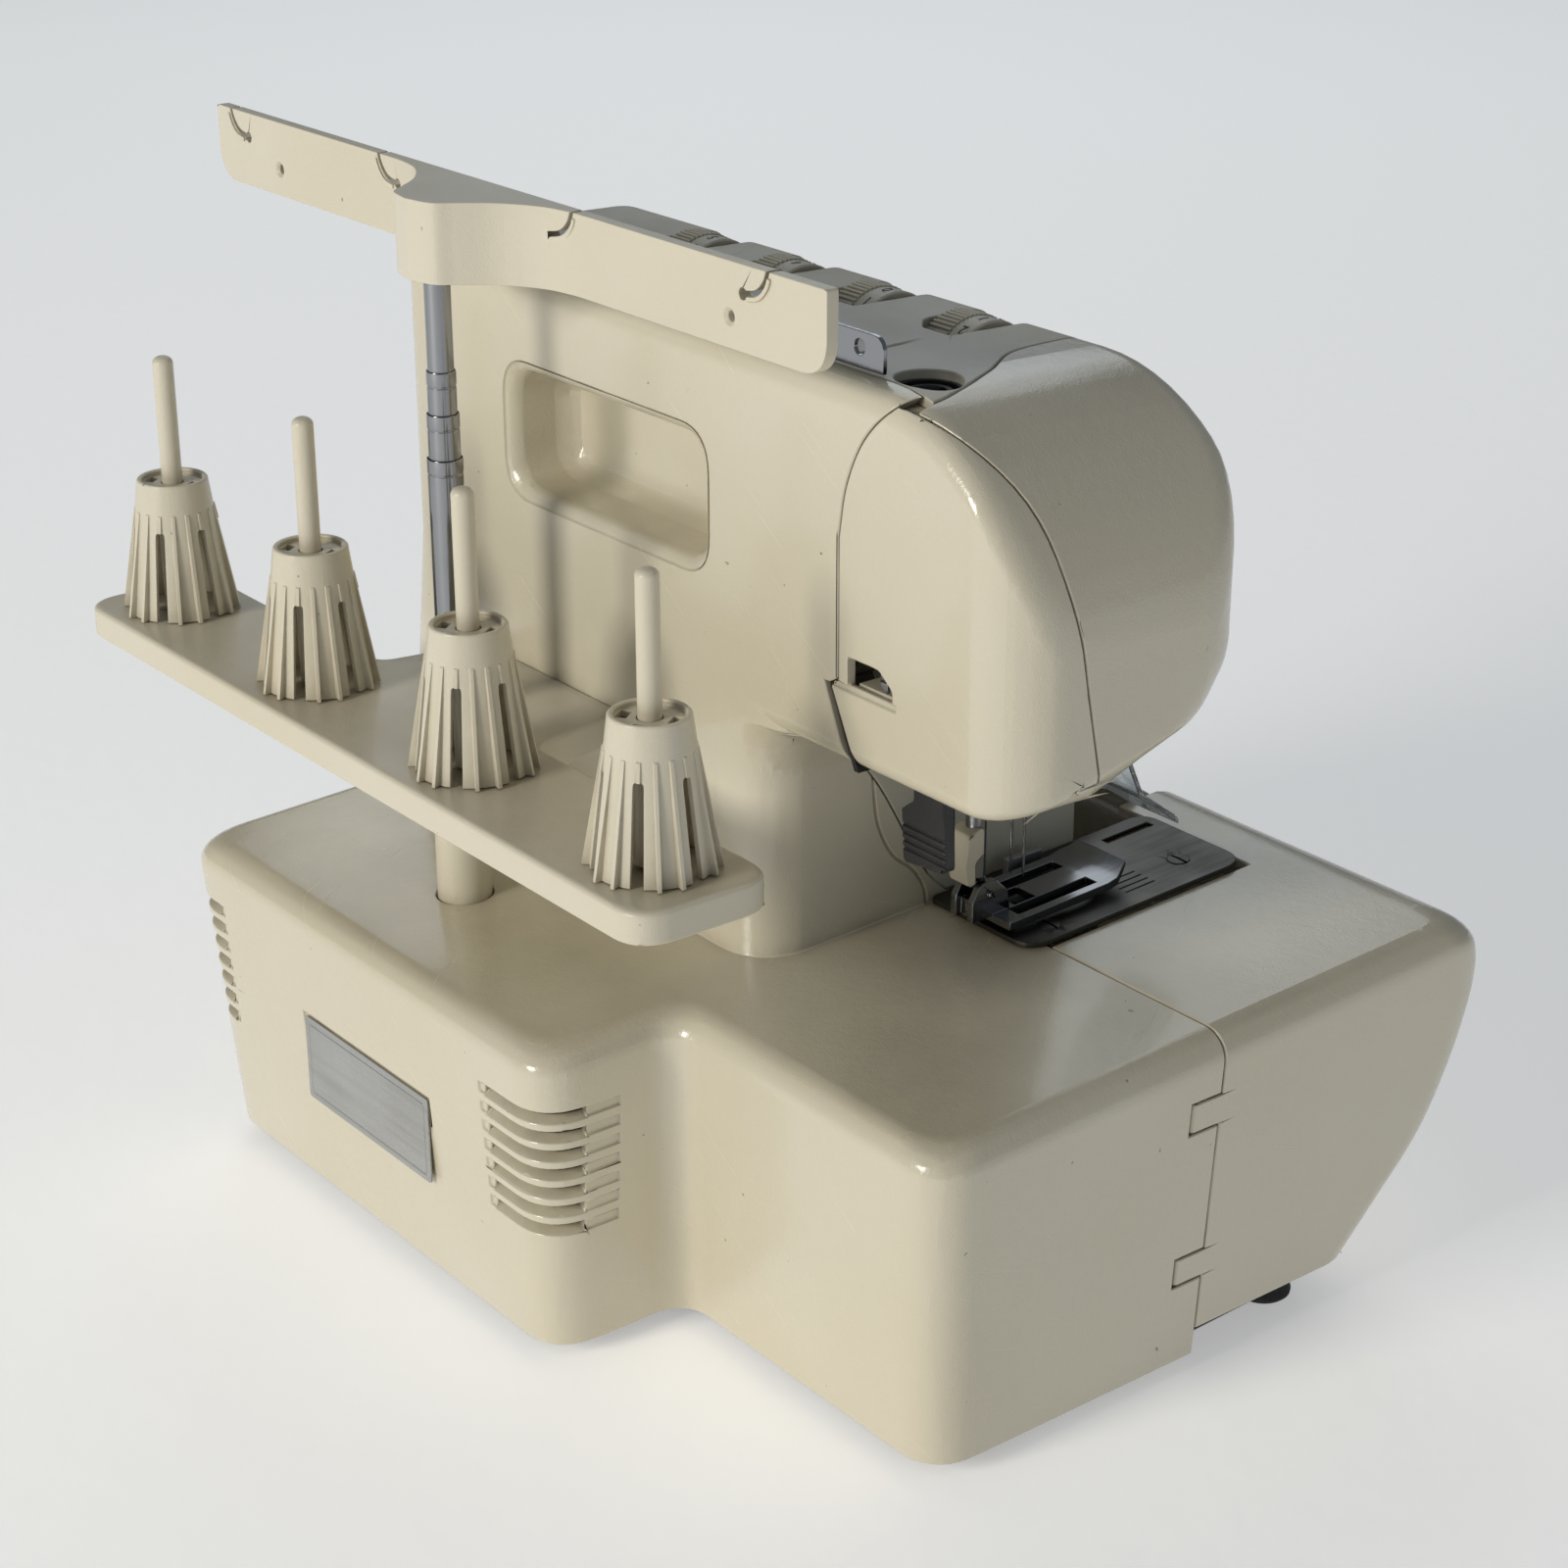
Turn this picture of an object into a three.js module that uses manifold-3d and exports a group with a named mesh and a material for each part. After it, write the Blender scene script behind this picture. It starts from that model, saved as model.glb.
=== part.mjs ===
// A four-thread overlock sewing machine (serger) with its spool stand and telescopic thread guide.
//
// Millimetres, +Z up. The pieces are drawn in the machine's own frame: X runs along the arm from the
// needle end (negative) to the handwheel end, +Y points to the back, where the spool stand is, and
// z = 0 is the table. The last lines move everything so that the origin is the middle of the
// footprint of the object's bounding box, on the table.

import * as THREE from 'three';
import { mergeVertices } from 'three/addons/utils/BufferGeometryUtils.js';
import Module from 'manifold-3d';

const wasm = await Module();
wasm.setup();

// ---------------------------------------------------------------- driving dimensions

const GAP = 0.35;             // space left between pieces that touch
const RUNNING_GAP = 0.3;      // radial clearance of a shaft in its bore
const WALL = 3;               // thickness of the moulded covers
const SEAM_GAP = 0.5;         // visible line between two covers

const BED_LEFT = -109.5;      // needle end of the bed, at its top edge
const BED_RIGHT = 216;        // handwheel end
const BED_BACK = 112.8;       // back of the bed beside the motor housing
const MOTOR_LEFT = 6.8;       // the motor housing's side towards the needle end
const MOTOR_BACK = 161.2;
const BED_TOP = 114.6;        // height of the bed at the cover seam
const BED_BOTTOM = 6;
const BED_DRAFT = 7.3;        // how far the bed's walls lean in towards the bottom
const BED_TILT = 0.045;       // the bed's top falls this much per millimetre towards the back
const BED_SEAM_Y = 5;         // line between the rear housing and the side cover

const COLUMN_LEFT = 12;
const COLUMN_FRONT = -48;
const ARM_BACK = 78;
const ARM_FRONT = -12;
const ARM_TOP = 299;
const ARM_TOP_FRONT = 296.5;
const ARM_UNDERSIDE = 189;
const ARM_RIGHT = 200;
const HEAD_LEFT = -96;

const PLATE_TOP = 172.2;      // spool stand
const PLATE_THICKNESS = 10;
const PIN_FIRST_X = -18.2;
const PIN_PITCH = 88.95;
const PIN_Y = 137.7;
const PIN_TOP = 257.7;
const PIN_RADIUS = 3.35;
const CONE_BASE_RADIUS = 19.5;
const CONE_TOP_RADIUS = 11.6;
const CONE_TOP = 217.1;
const STAND_HALF_LENGTH = 159;
const STAND_HALF_DEPTH = 23.6;
const POLE_X = 115.2;
const POLE_Y = 115.4;
const POST_RADIUS = 8.6;

const GUIDE_BOTTOM = 306;
const GUIDE_TOP = 329.6;
const GUIDE_Y = 96;
const GUIDE_THICKNESS = 4;

const DIAL_COUNT = 4;
const DIAL_FIRST_X = 6;
const DIAL_PITCH = 42.7;
const DIAL_RADIUS = 16;
const DIAL_WIDTH = 17;
const DIAL_Y = 5;
const DIAL_Z = 283;

const SHAFT_Y = 36;           // main shaft
const SHAFT_Z = 70;
const SHAFT_RADIUS = 5;
const MOTOR_X = 132;
const MOTOR_Y = 124;
const MOTOR_Z = 56;
const BELT_X = 197;
const DRIVEN_PULLEY_RADIUS = 24;
const MOTOR_PULLEY_RADIUS = 8;

const NEEDLE_X = -12;
const NEEDLE_BAR_Y = -2;
const PRESSER_BAR_Y = 15;
const BAR_RADIUS = 3.2;       // needle bar and presser bar
const REGULATOR = { x: -36.5, y: 57.5 };

// ---------------------------------------------------------------- materials

const material = (color, roughness, metalness = 0) =>
  new THREE.MeshStandardMaterial({ color, roughness, metalness });

const ivory = material(0xcfc8b4, 0.3);
const ivoryPanel = material(0xc3bfae, 0.38);
const ivoryStand = material(0xcac3b0, 0.42);
const black = material(0x17171a, 0.4);
const rubber = material(0x202022, 0.85);
const chrome = material(0xb9bcc0, 0.15, 1);
const steel = material(0x8f9296, 0.32, 1);
const darkSteel = material(0x4a4c4f, 0.35, 1);
const castAlloy = material(0x9a9c9e, 0.55, 0.9);
const clearPlastic = material(0x9ba0a4, 0.12);
const labelFoil = material(0xa9acb0, 0.45, 0.4);

// ---------------------------------------------------------------- solids

function toSolid(geometry) {
  const bare = geometry.clone();
  bare.deleteAttribute('normal');
  bare.deleteAttribute('uv');
  const merged = mergeVertices(bare, 1e-4);
  return new wasm.Manifold(new wasm.Mesh({
    numProp: 3,
    vertProperties: merged.attributes.position.array,
    triVerts: Uint32Array.from(merged.index.array),
  }));
}

function toGeometry(solid) {
  const mesh = solid.getMesh();
  const geometry = new THREE.BufferGeometry();
  geometry.setAttribute('position', new THREE.BufferAttribute(mesh.vertProperties, 3));
  geometry.setIndex(new THREE.BufferAttribute(mesh.triVerts, 1));
  geometry.computeVertexNormals();
  return geometry;
}

function box(x0, x1, y0, y1, z0, z1) {
  const geometry = new THREE.BoxGeometry(x1 - x0, y1 - y0, z1 - z0);
  return toSolid(geometry.translate((x0 + x1) / 2, (y0 + y1) / 2, (z0 + z1) / 2));
}

// How a drawing plane (u, v) and its normal w sit in the machine's frame.
const PLANES = {
  xy: (u, v, w) => [u, v, w],
  yz: (u, v, w) => [w, u, v],
  xz: (u, v, w) => [u, -w, v],
};

function place(geometry, plane) {
  const position = geometry.attributes.position;
  for (let i = 0; i < position.count; i += 1) {
    position.setXYZ(i, ...PLANES[plane](position.getX(i), position.getY(i), position.getZ(i)));
  }
  return geometry;
}

// An outline drawn in a plane and given depth from one place along its normal to another.
function prism(plane, points, from, to) {
  const shape = new THREE.Shape(points.map(([u, v]) => new THREE.Vector2(u, v)));
  const [start, end] = plane === 'xz' ? [-to, -from] : [from, to];
  const geometry = new THREE.ExtrudeGeometry(shape, { depth: end - start, bevelEnabled: false });
  return toSolid(place(geometry.translate(0, 0, start), plane));
}

// A round bar along x, y or z through (a, b), the other two coordinates in order.
function bar(axis, radius, a, b, from, to, sides = 20) {
  const geometry = new THREE.CylinderGeometry(radius, radius, to - from, sides);
  const middle = (from + to) / 2;
  if (axis === 'x') return toSolid(geometry.rotateZ(-Math.PI / 2).translate(middle, a, b));
  if (axis === 'y') return toSolid(geometry.translate(a, middle, b));
  return toSolid(geometry.rotateX(Math.PI / 2).translate(a, b, middle));
}

// A lathed profile of [radius, height] points that starts and ends on the axis, or closes.
function lathe(profile, sides = 24) {
  const points = profile.map(([radius, height]) => new THREE.Vector2(radius, height));
  return toSolid(new THREE.LatheGeometry(points, sides).rotateX(Math.PI / 2));
}

// A polygon with corners [u, v, radius]; a corner with a radius becomes a short curve.
function rounded(corners, steps = 4) {
  return corners.flatMap(([u, v, radius], i) => {
    if (!radius) return [[u, v]];
    const corner = new THREE.Vector2(u, v);
    const before = new THREE.Vector2(...corners.at(i - 1)).sub(corner).normalize();
    const after = new THREE.Vector2(...corners[(i + 1) % corners.length]).sub(corner).normalize();
    const half = Math.acos(THREE.MathUtils.clamp(before.dot(after), -1, 1)) / 2;
    const reach = radius / Math.tan(half);
    const curve = new THREE.QuadraticBezierCurve(
      corner.clone().addScaledVector(before, reach), corner, corner.clone().addScaledVector(after, reach));
    return curve.getPoints(steps).map((point) => point.toArray());
  });
}

// A skin through outlines that all have the same number of points, closed at both ends.
function loft(plane, levels) {
  const count = levels[0].outline.length;
  const vertices = levels.flatMap(({ at, outline }) => outline.map(([u, v]) => PLANES[plane](u, v, at)));
  const faces = [];
  for (let level = 0; level + 1 < levels.length; level += 1) {
    for (let i = 0; i < count; i += 1) {
      const a = level * count + i;
      const b = level * count + ((i + 1) % count);
      faces.push([a, b, b + count], [a, b + count, a + count]);
    }
  }
  const cap = (outline) => THREE.ShapeUtils.triangulateShape(
    outline.map(([u, v]) => new THREE.Vector2(u, v)), []);
  const top = (levels.length - 1) * count;
  cap(levels[0].outline).forEach(([a, b, c]) => faces.push([a, c, b]));
  cap(levels.at(-1).outline).forEach(([a, b, c]) => faces.push([top + a, top + b, top + c]));
  const geometry = new THREE.BufferGeometry();
  geometry.setAttribute('position', new THREE.Float32BufferAttribute(vertices.flat(), 3));
  geometry.setIndex(faces.flat());
  return toSolid(geometry);
}

const join = (...solids) => solids.reduce((a, b) => a.add(b));
const largest = (solid) => solid.decompose().reduce((a, b) => (a.volume() > b.volume() ? a : b));

// ---------------------------------------------------------------- the scene graph

const machine = new THREE.Group();

function add(name, shape, look) {
  const mesh = new THREE.Mesh(shape.isBufferGeometry ? shape : toGeometry(shape), look);
  mesh.name = name;
  machine.add(mesh);
  return mesh;
}

// ---------------------------------------------------------------- casing volumes

// The bed's top falls towards the back: heights are scaled by how far back a point is.
function tilted(solid) {
  return solid.warp((point) => {
    point[2] *= 1 - (BED_TILT * (point[1] - BED_SEAM_Y)) / BED_TOP;
  });
}

// Inward offset of the bed's wall at height z: draft below, a rounded top edge of radius 9 above.
function bedInset(z, inset, top) {
  const radius = 9 - inset / 2;
  const draft = BED_DRAFT * (1 - z / BED_TOP);
  const rise = Math.max(0, z - (top - radius));
  return inset + draft + radius - Math.sqrt(Math.max(0, radius * radius - rise * rise));
}

const edgeLevels = (bottom, top) => [bottom, top - 9, top - 6, top - 3, top - 1, top];

function bedVolume(inset) {
  const top = BED_TOP - inset;
  const bottom = inset ? 0 : BED_BOTTOM;
  return tilted(loft('xy', edgeLevels(bottom, top).map((z) => {
    const d = bedInset(z, inset, top);
    return { at: z, outline: rounded([
      [BED_LEFT + d, BED_SEAM_Y, 0],
      [BED_RIGHT - d, BED_SEAM_Y, 0],
      [BED_RIGHT - d, MOTOR_BACK - d, 16],
      [MOTOR_LEFT + d, MOTOR_BACK - d, 16],
      [MOTOR_LEFT + d, BED_BACK - d, 12],
      [BED_LEFT + d, BED_BACK - d, 16],
    ]) };
  })));
}

function columnVolume(inset) {
  const right = (z) => BED_RIGHT - 2 - 14 * Math.max(0, (z - 110) / 100);
  const levels = inset ? [80, 130, 160, 215, 241] : [100, 130, 160, 215, 244];
  return loft('xy', levels.map((z) => ({ at: z, outline: rounded([
    [COLUMN_LEFT + inset, COLUMN_FRONT + inset + Math.max(0, (z - 142) * 0.35), 0],
    [right(z) - inset, COLUMN_FRONT + inset + Math.max(0, (z - 142) * 0.35), 10],
    [right(z) - inset, ARM_BACK - inset, 16],
    [COLUMN_LEFT + inset, ARM_BACK - inset, 20],
  ]) })));
}

// The arm and head: a section across the machine, swept from the needle end to the handwheel end.
function armVolume(inset) {
  const left = HEAD_LEFT + inset;
  const right = ARM_RIGHT - inset;
  const corner = 20;
  const stations = [left, left + 2, left + 6, left + 12, left + 20, -60, -48, -35, 0, right - 12,
    right - 5, right - 1, right];
  return loft('yz', stations.map((x) => {
    const nearLeft = Math.max(0, corner - (x - left));
    const nearRight = Math.max(0, 12 - (right - x));
    const pinch = corner - Math.sqrt(corner ** 2 - nearLeft ** 2)
      + 12 - Math.sqrt(144 - nearRight ** 2) + inset;
    const crown = Math.min(0, (x + 35) / 62);
    const drop = 62 * (1 - Math.sqrt(Math.max(0.02, 1 - crown ** 2)));
    const front = ARM_FRONT + pinch;
    const back = ARM_BACK - pinch;
    return { at: x, outline: rounded([
      [back, ARM_UNDERSIDE + pinch * 0.5, 7],
      [back, ARM_TOP - inset - drop - (pinch - inset) * 0.5, 9],
      [front, ARM_TOP_FRONT - inset - drop - (pinch - inset) * 0.5, 9],
      [front, 222, 8],
      [front + 10, 207 + inset, 8],
      [front + 50, ARM_UNDERSIDE + pinch * 0.5, 10],
    ]) };
  }));
}

// ---------------------------------------------------------------- seams between the covers

const smooth = (points, steps) => new THREE.CatmullRomCurve3(
  points.map(([u, v]) => new THREE.Vector3(u, v, 0))).getPoints(steps).map(({ x, y }) => [x, y]);

// Everything behind the line between the rear housing and the front covers.
function behindSeam(shift) {
  const edge = smooth([[5, 116], [13, 124], [34, 160], [58, 190], [68.5, 222]], 10);
  const outline = [[BED_SEAM_Y, -10], ...edge, [68.5, 400], [300, 400], [300, -10]];
  return prism('yz', outline.map(([y, z]) => [y + (y < 300 ? shift : 0), z]), -200, 300);
}

// Everything towards the needle end of the line between the arm and the head's rear cover.
function leftOfArmSeam(shift) {
  const edge = smooth([[-24, 255], [-27, 270], [-34, 284], [-46, 296], [-54, 303]], 8);
  const outline = [[-300, 100], [-32, 100], [-32, 189], [-20.5, 212], [-24, 214], ...edge, [-300, 320]];
  return prism('xz', outline.map(([x, z]) => [x + (x > -300 ? shift : 0), z]), -200, 300);
}

// Everything behind the line between the head's rear cover and the face cover.
function behindFaceSeam(shift) {
  const edge = smooth([[44, 170], [45, 190], [51, 222], [57, 252], [63, 276], [74, 294], [84, 304]], 12);
  const outline = [...edge, [300, 304], [300, 170]];
  return prism('yz', outline.map(([y, z]) => [y + (y < 300 ? shift : 0), z]), -200, 300);
}

// Everything towards the needle end of the S-shaped line across the top of the arm.
function leftOfTopSeam(shift) {
  const edge = smooth([[-53, 84], [-50, 64], [-39, 38], [-28, 21], [-25, 4], [-25, -20]], 12);
  const outline = [[-300, 84], [-300, -20], ...edge.reverse()];
  return prism('xy', outline.map(([x, y]) => [x + (x > -300 ? shift : 0), y]), 100, 320);
}

// The slanted slot of the thread cutter beside the arm seam, narrower by inset on each side.
function cutterSlot(inset, front, back) {
  return prism('xz', [[-32 + inset, 187 + inset], [-28.6 - inset, 187 + inset],
    [-17.6 - inset, 212 - inset], [-20.6 + inset, 212 - inset]], front, back);
}

// ---------------------------------------------------------------- side cover's hinge

const hinge = { x: -107.5, y: 14, lean: Math.atan(BED_DRAFT / BED_TOP) };
const tabs = [{ bottom: 34, top: 43 }, { bottom: 86, top: 95.5 }];

// Where the hinge line stands at height z: it leans with the drafted end of the bed.
const hingeX = (z) => hinge.x + (BED_TOP - z) * Math.tan(hinge.lean);

// ---------------------------------------------------------------- covers

const armShell = armVolume(0).subtract(armVolume(WALL));
const upperShell = armVolume(0).add(columnVolume(0)).subtract(armVolume(WALL).add(columnVolume(WALL)));
const headRegion = box(-200, 60, -100, 200, 180, 320);
const headOpening = prism('yz', [[-7, 180], [72, 180], [72, 196], [38, 196], [8, 214], [-7, 220]], -86, 8);
const dialX = Array.from({ length: DIAL_COUNT }, (_, i) => DIAL_FIRST_X + DIAL_PITCH * i);
const pinX = Array.from({ length: 4 }, (_, i) => PIN_FIRST_X + PIN_PITCH * i);

const handle = { left: 39, right: 136, bottom: 231, top: 267, floor: 54 };
const switchPlace = { y: 92, z: 64, halfWidth: 7, halfHeight: 10 };
const inletPlace = { y: 128, z: 44, halfWidth: 13, halfHeight: 9 };

// The opening in the handwheel end's wall that a fitting sits in.
function wallOpening({ y, z, halfWidth, halfHeight }) {
  const fit = 0.4;
  return box(200, 220, y - halfWidth - fit, y + halfWidth + fit, z - halfHeight - fit, z + halfHeight + fit);
}

// The pocket for the carrying hand, larger all round by grow, as far back as end.
function handleScoop(grow, end) {
  const { left, right, bottom, top, floor } = handle;
  const outline = rounded([
    [left - grow, bottom - grow, 9],
    [right + grow, bottom - grow, 9],
    [right + grow, top + grow, 9],
    [left - grow, top + grow, 9],
  ]);
  return prism('xz', outline, floor - grow, end);
}

function vents() {
  const heights = Array.from({ length: 7 }, (_, i) => 46.5 + 6.5 * i);
  return join(...heights.flatMap((z) => [
    box(MOTOR_LEFT - 2, 40, 146, 165, z, z + 3),
    box(194, BED_RIGHT + 2, 146, 165, z, z + 3),
  ]));
}

function rearHousing() {
  const outer = join(bedVolume(0), columnVolume(0), armVolume(0));
  const inner = join(bedVolume(WALL), columnVolume(WALL), armVolume(WALL));
  const holes = join(
    bar('z', POST_RADIUS + GAP, POLE_X, POLE_Y, 90, 125),
    bar('x', SHAFT_RADIUS + 2, SHAFT_Y, SHAFT_Z, 200, 230),
    wallOpening(switchPlace),
    wallOpening(inletPlace),
    box(71.5, 146.5, 157.7, 170, 38, 69),
    vents(),
    headOpening,
  );
  const head = leftOfArmSeam(SEAM_GAP).intersect(headRegion);
  return largest(outer.subtract(inner).intersect(behindSeam(0))
    .add(handleScoop(WALL, ARM_BACK - 1))
    .add(join(...tabs.map((tab) => hingeSlot(tab, 2))).intersect(bedVolume(0)))
    .subtract(handleScoop(0, ARM_BACK + 5))
    .subtract(join(...tabs.map((tab) => hingeSlot(tab, 0))))
    .subtract(holes)
    .subtract(cutterSlot(0, 60, 90))
    .subtract(head));
}

function frontPanel() {
  const slots = dialX.map((x) => box(x - 10, x + 10, -20, 22, 269, 305));
  return largest(upperShell.subtract(behindSeam(-SEAM_GAP))
    .subtract(leftOfTopSeam(SEAM_GAP).intersect(headRegion))
    .subtract(box(-200, 300, -100, 200, 90, 117))
    .subtract(join(...slots))
    .subtract(bar('z', 9.5, REGULATOR.x, REGULATOR.y, 280, 310))
    .subtract(headOpening));
}

function headRearCover() {
  const screwWindow = box(-47, -28, 70, 90, 213, 221.5);
  return largest(armShell.intersect(behindFaceSeam(0)).intersect(leftOfArmSeam(0))
    .subtract(headOpening).subtract(screwWindow));
}

function faceCover() {
  return largest(armShell.subtract(behindFaceSeam(-SEAM_GAP)).intersect(leftOfTopSeam(0))
    .subtract(headOpening));
}

add('rear_housing', rearHousing(), ivory);
add('front_panel', frontPanel(), ivoryPanel);
add('head_rear_cover', headRearCover(), ivory);
add('face_cover', faceCover(), ivory);

// ---------------------------------------------------------------- swinging side cover

function sideCoverVolume(inset) {
  const front = smooth([[-64, 15], [-78, 30], [-94, 48], [-103, 66], [-108.5, 84], [-110, 96],
    [-108, 106], [-103, 112], [-96, BED_TOP]], 12);
  const bottom = inset ? -20 : 0;
  return tilted(loft('xy', front.map(([y, z], i) => {
    const left = BED_LEFT + bedInset(z, 0, BED_TOP) + inset;
    const back = BED_SEAM_Y - SEAM_GAP + inset;
    return { at: i ? z - inset : z + bottom, outline: rounded([
      [left, y + inset, 14 - inset], [24 + inset, y + inset, 0], [24 + inset, back, 0], [left, back, 0]]) };
  })));
}

// A hinge tab: a tongue on the cover's back edge, rounded about the hinge line.
function hingeTab({ bottom, top }) {
  const outline = (z) => rounded([
    [hingeX(z) - 2, -2, 0], [hingeX(z) + 1.6, -2, 0],
    [hingeX(z) + 2, hinge.y + 2, 1.8], [hingeX(z) - 2, hinge.y + 2, 1.8]]);
  return loft('xy', [bottom, top].map((z) => ({ at: z, outline: outline(z) })));
}

// The slot in the rear housing that a hinge tab swings in, with a back wall behind it.
function hingeSlot({ bottom, top }, grow) {
  const outline = (z) => [
    [hingeX(z) - 8, BED_SEAM_Y - 1], [hingeX(z) + 2.6 + grow, BED_SEAM_Y - 1],
    [hingeX(z) + 2.6 + grow, hinge.y + 2.6 + grow], [hingeX(z) - 8, hinge.y + 2.6 + grow]];
  const ends = [bottom - 0.6 - grow, top + 0.6 + grow];
  return loft('xy', ends.map((z) => ({ at: z, outline: outline(z) })));
}

function sideCover() {
  const notch = box(PLATE.left - 0.6, 40, PLATE.front - 1, 20, 60, 130);
  const shell = sideCoverVolume(0).subtract(sideCoverVolume(WALL)).subtract(notch);
  return largest(join(shell, ...tabs.map(hingeTab)));
}

// ---------------------------------------------------------------- front covers

const FRONT_LEFT = 24.6;
const FRONT_RIGHT = 215.4;
const cover = { left: 30.5, right: 149.5, hingeY: -83, hingeZ: 27, travel: 4 };
const dials = [
  { name: 'stitch_length_dial', y: -48, z: 84, radius: 13 },
  { name: 'differential_feed_dial', y: -62, z: 50, radius: 13 },
];

const frontProfile = smooth([[-74, 9.5], [-86, 21], [-96, 41], [-104.5, 66], [-108.5, 88], [-105, 106],
  [-93, 119], [-72, 129], [-49, 139]], 24);

// A strip of even thickness that follows a curve, on its left-hand side.
function ribbon(points, thickness) {
  const inner = points.map(([u, v], i) => {
    const [u0, v0] = points[Math.max(0, i - 1)];
    const [u1, v1] = points[Math.min(points.length - 1, i + 1)];
    const length = Math.hypot(u1 - u0, v1 - v0);
    return [u + ((v1 - v0) / length) * thickness, v - ((u1 - u0) / length) * thickness];
  });
  return [...points, ...inner.reverse()];
}

function lowerFrontCover() {
  const strip = prism('yz', ribbon(frontProfile, WALL), FRONT_LEFT, FRONT_RIGHT);
  const back = [[-49, 113.6], [BED_SEAM_Y - SEAM_GAP, 113.6], [BED_SEAM_Y - SEAM_GAP, 9.5]];
  const end = prism('yz', [...frontProfile, ...back], FRONT_RIGHT - WALL, FRONT_RIGHT);
  const window = box(cover.left - 0.6, cover.right + cover.travel + 0.6, -130, -60, 14, 136);
  const shafts = dials.map(({ y, z }) => bar('x', 3.6, y, z, 190, 230));
  const drafted = strip.add(end).subtract(join(...shafts)).warp((point) => {
    const along = (point[0] - FRONT_LEFT) / (FRONT_RIGHT - FRONT_LEFT);
    point[0] -= along * BED_DRAFT * (1 - Math.min(1, point[2] / BED_TOP));
  });
  return largest(drafted.subtract(window));
}

// The looper cover with the knuckle that turns on its hinge rod.
function looperCover() {
  const outline = frontProfile.filter(([, z]) => z > 31 && z < 133);
  const strip = prism('yz', ribbon(outline, WALL), cover.left, cover.right);
  const knuckle = bar('x', 5, cover.hingeY, cover.hingeZ, cover.left + 6, cover.right - 6);
  const arm = box(cover.left + 6, cover.right - 6, -93, cover.hingeY, 24.5, 36);
  return largest(strip.add(knuckle).add(arm)
    .subtract(bar('x', 3, cover.hingeY, cover.hingeZ, 0, 200)));
}

// ---------------------------------------------------------------- stitching parts

const PLATE = { left: -34.8, right: 11.4, front: -78, back: 12.6, thickness: 1.6 };
const NEEDLE_HOLE = { left: -16, right: -8, front: -4.6, back: 0.6 };

// Pieces that lie on the bed tilt with it.
function onBed(solid) {
  return solid.warp((point) => {
    point[2] -= BED_TILT * (point[1] - BED_SEAM_Y);
  });
}

function needlePlate() {
  const { left, right, front, back, thickness } = PLATE;
  const bottom = BED_TOP + 0.4;
  const outline = rounded([[left, front, 9], [right, front, 7], [right, back, 3], [left, back, 9]]);
  const feedSlots = [-21.5, -6.2].map((x) => box(x, x + 4, -32, 8, 100, 130));
  const holes = join(...feedSlots,
    box(NEEDLE_HOLE.left, NEEDLE_HOLE.right, NEEDLE_HOLE.front, NEEDLE_HOLE.back, 100, 130),
    box(3.2, 7.4, -28, -12, 100, 130),
    box(2.5, 5.5, -74, -54, 100, 130));
  return onBed(prism('xy', outline, bottom, bottom + thickness).subtract(holes));
}

function presserFoot() {
  const sole = prism('yz', [[-38, 121], [-34, 118.2], [12, 118.2], [12, 121], [-32, 121], [-37, 123.5]],
    -25, 1.6);
  const ankle = prism('yz', [[6, 120.5], [20, 120.5], [20, 127], [17, 132.4], [11, 132.4], [6, 127]],
    -17, -7);
  const slots = join(box(-22, -17, -26, 6, 110, 130), box(-7, -2, -26, 6, 110, 130),
    box(-16.5, -7.5, -6, 2.6, 110, 130));
  return onBed(sole.subtract(slots).add(ankle));
}

function needleClamp() {
  const block = box(NEEDLE_X - 7, NEEDLE_X + 7, NEEDLE_BAR_Y - 5.5, NEEDLE_BAR_Y + 3.5, 156, 165);
  const needles = [-2.8, 2.8].map((offset) => bar('z', 0.7, NEEDLE_X + offset, NEEDLE_BAR_Y, 127, 157, 8));
  const screw = bar('y', 2.2, NEEDLE_X, 160, NEEDLE_BAR_Y - 9, NEEDLE_BAR_Y - 5, 12);
  return join(block, ...needles, screw);
}

function presserLifter() {
  const lever = prism('xz', rounded([[-52, 160, 2], [-34, 158, 2], [-33, 174, 1.5], [-38, 178, 1.5],
    [-38, 202, 3], [-50, 202, 3]]), 58, 62);
  return lever.add(bar('x', 4, 60, 198, -50, -38)).subtract(bar('x', 1.8, 60, 198, -60, -20, 12));
}

function feedDog() {
  const rows = [-20.7, -5.4].map((x) => box(x, x + 2.4, -28, 1, 100, 115.6));
  return onBed(join(box(-21.5, -2, -28, -8, 100, 106), ...rows));
}

// A looper or knife arm: an outline in the plane across the bed, with a boss on its pivot.
function swingArm(outline, pivotX, pivotZ, front, back) {
  return prism('xz', outline, front, back)
    .add(bar('y', 6, pivotX, pivotZ, front - 1, back + 1))
    .subtract(bar('y', 2.6, pivotX, pivotZ, front - 5, back + 5, 16));
}

const lowerLooper = { x: -46, z: 58 };
const upperLooper = { x: 0, z: 56 };

function lowerLooperArm() {
  const { x, z } = lowerLooper;
  return swingArm([[x - 4, z], [x + 4, z], [x + 3, z + 32], [x + 25, z + 38], [x + 26, z + 39.5],
    [x + 6, z + 36], [x - 3, z + 34]], x, z, 2.4, 5);
}

function upperLooperArm() {
  const { x, z } = upperLooper;
  return swingArm([[x - 4, z], [x + 4, z], [x + 6, z + 30], [x + 2, z + 42], [x - 2, z + 44],
    [x, z + 36], [x - 1, z + 28]], x, z, -10, -7.4);
}

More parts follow.
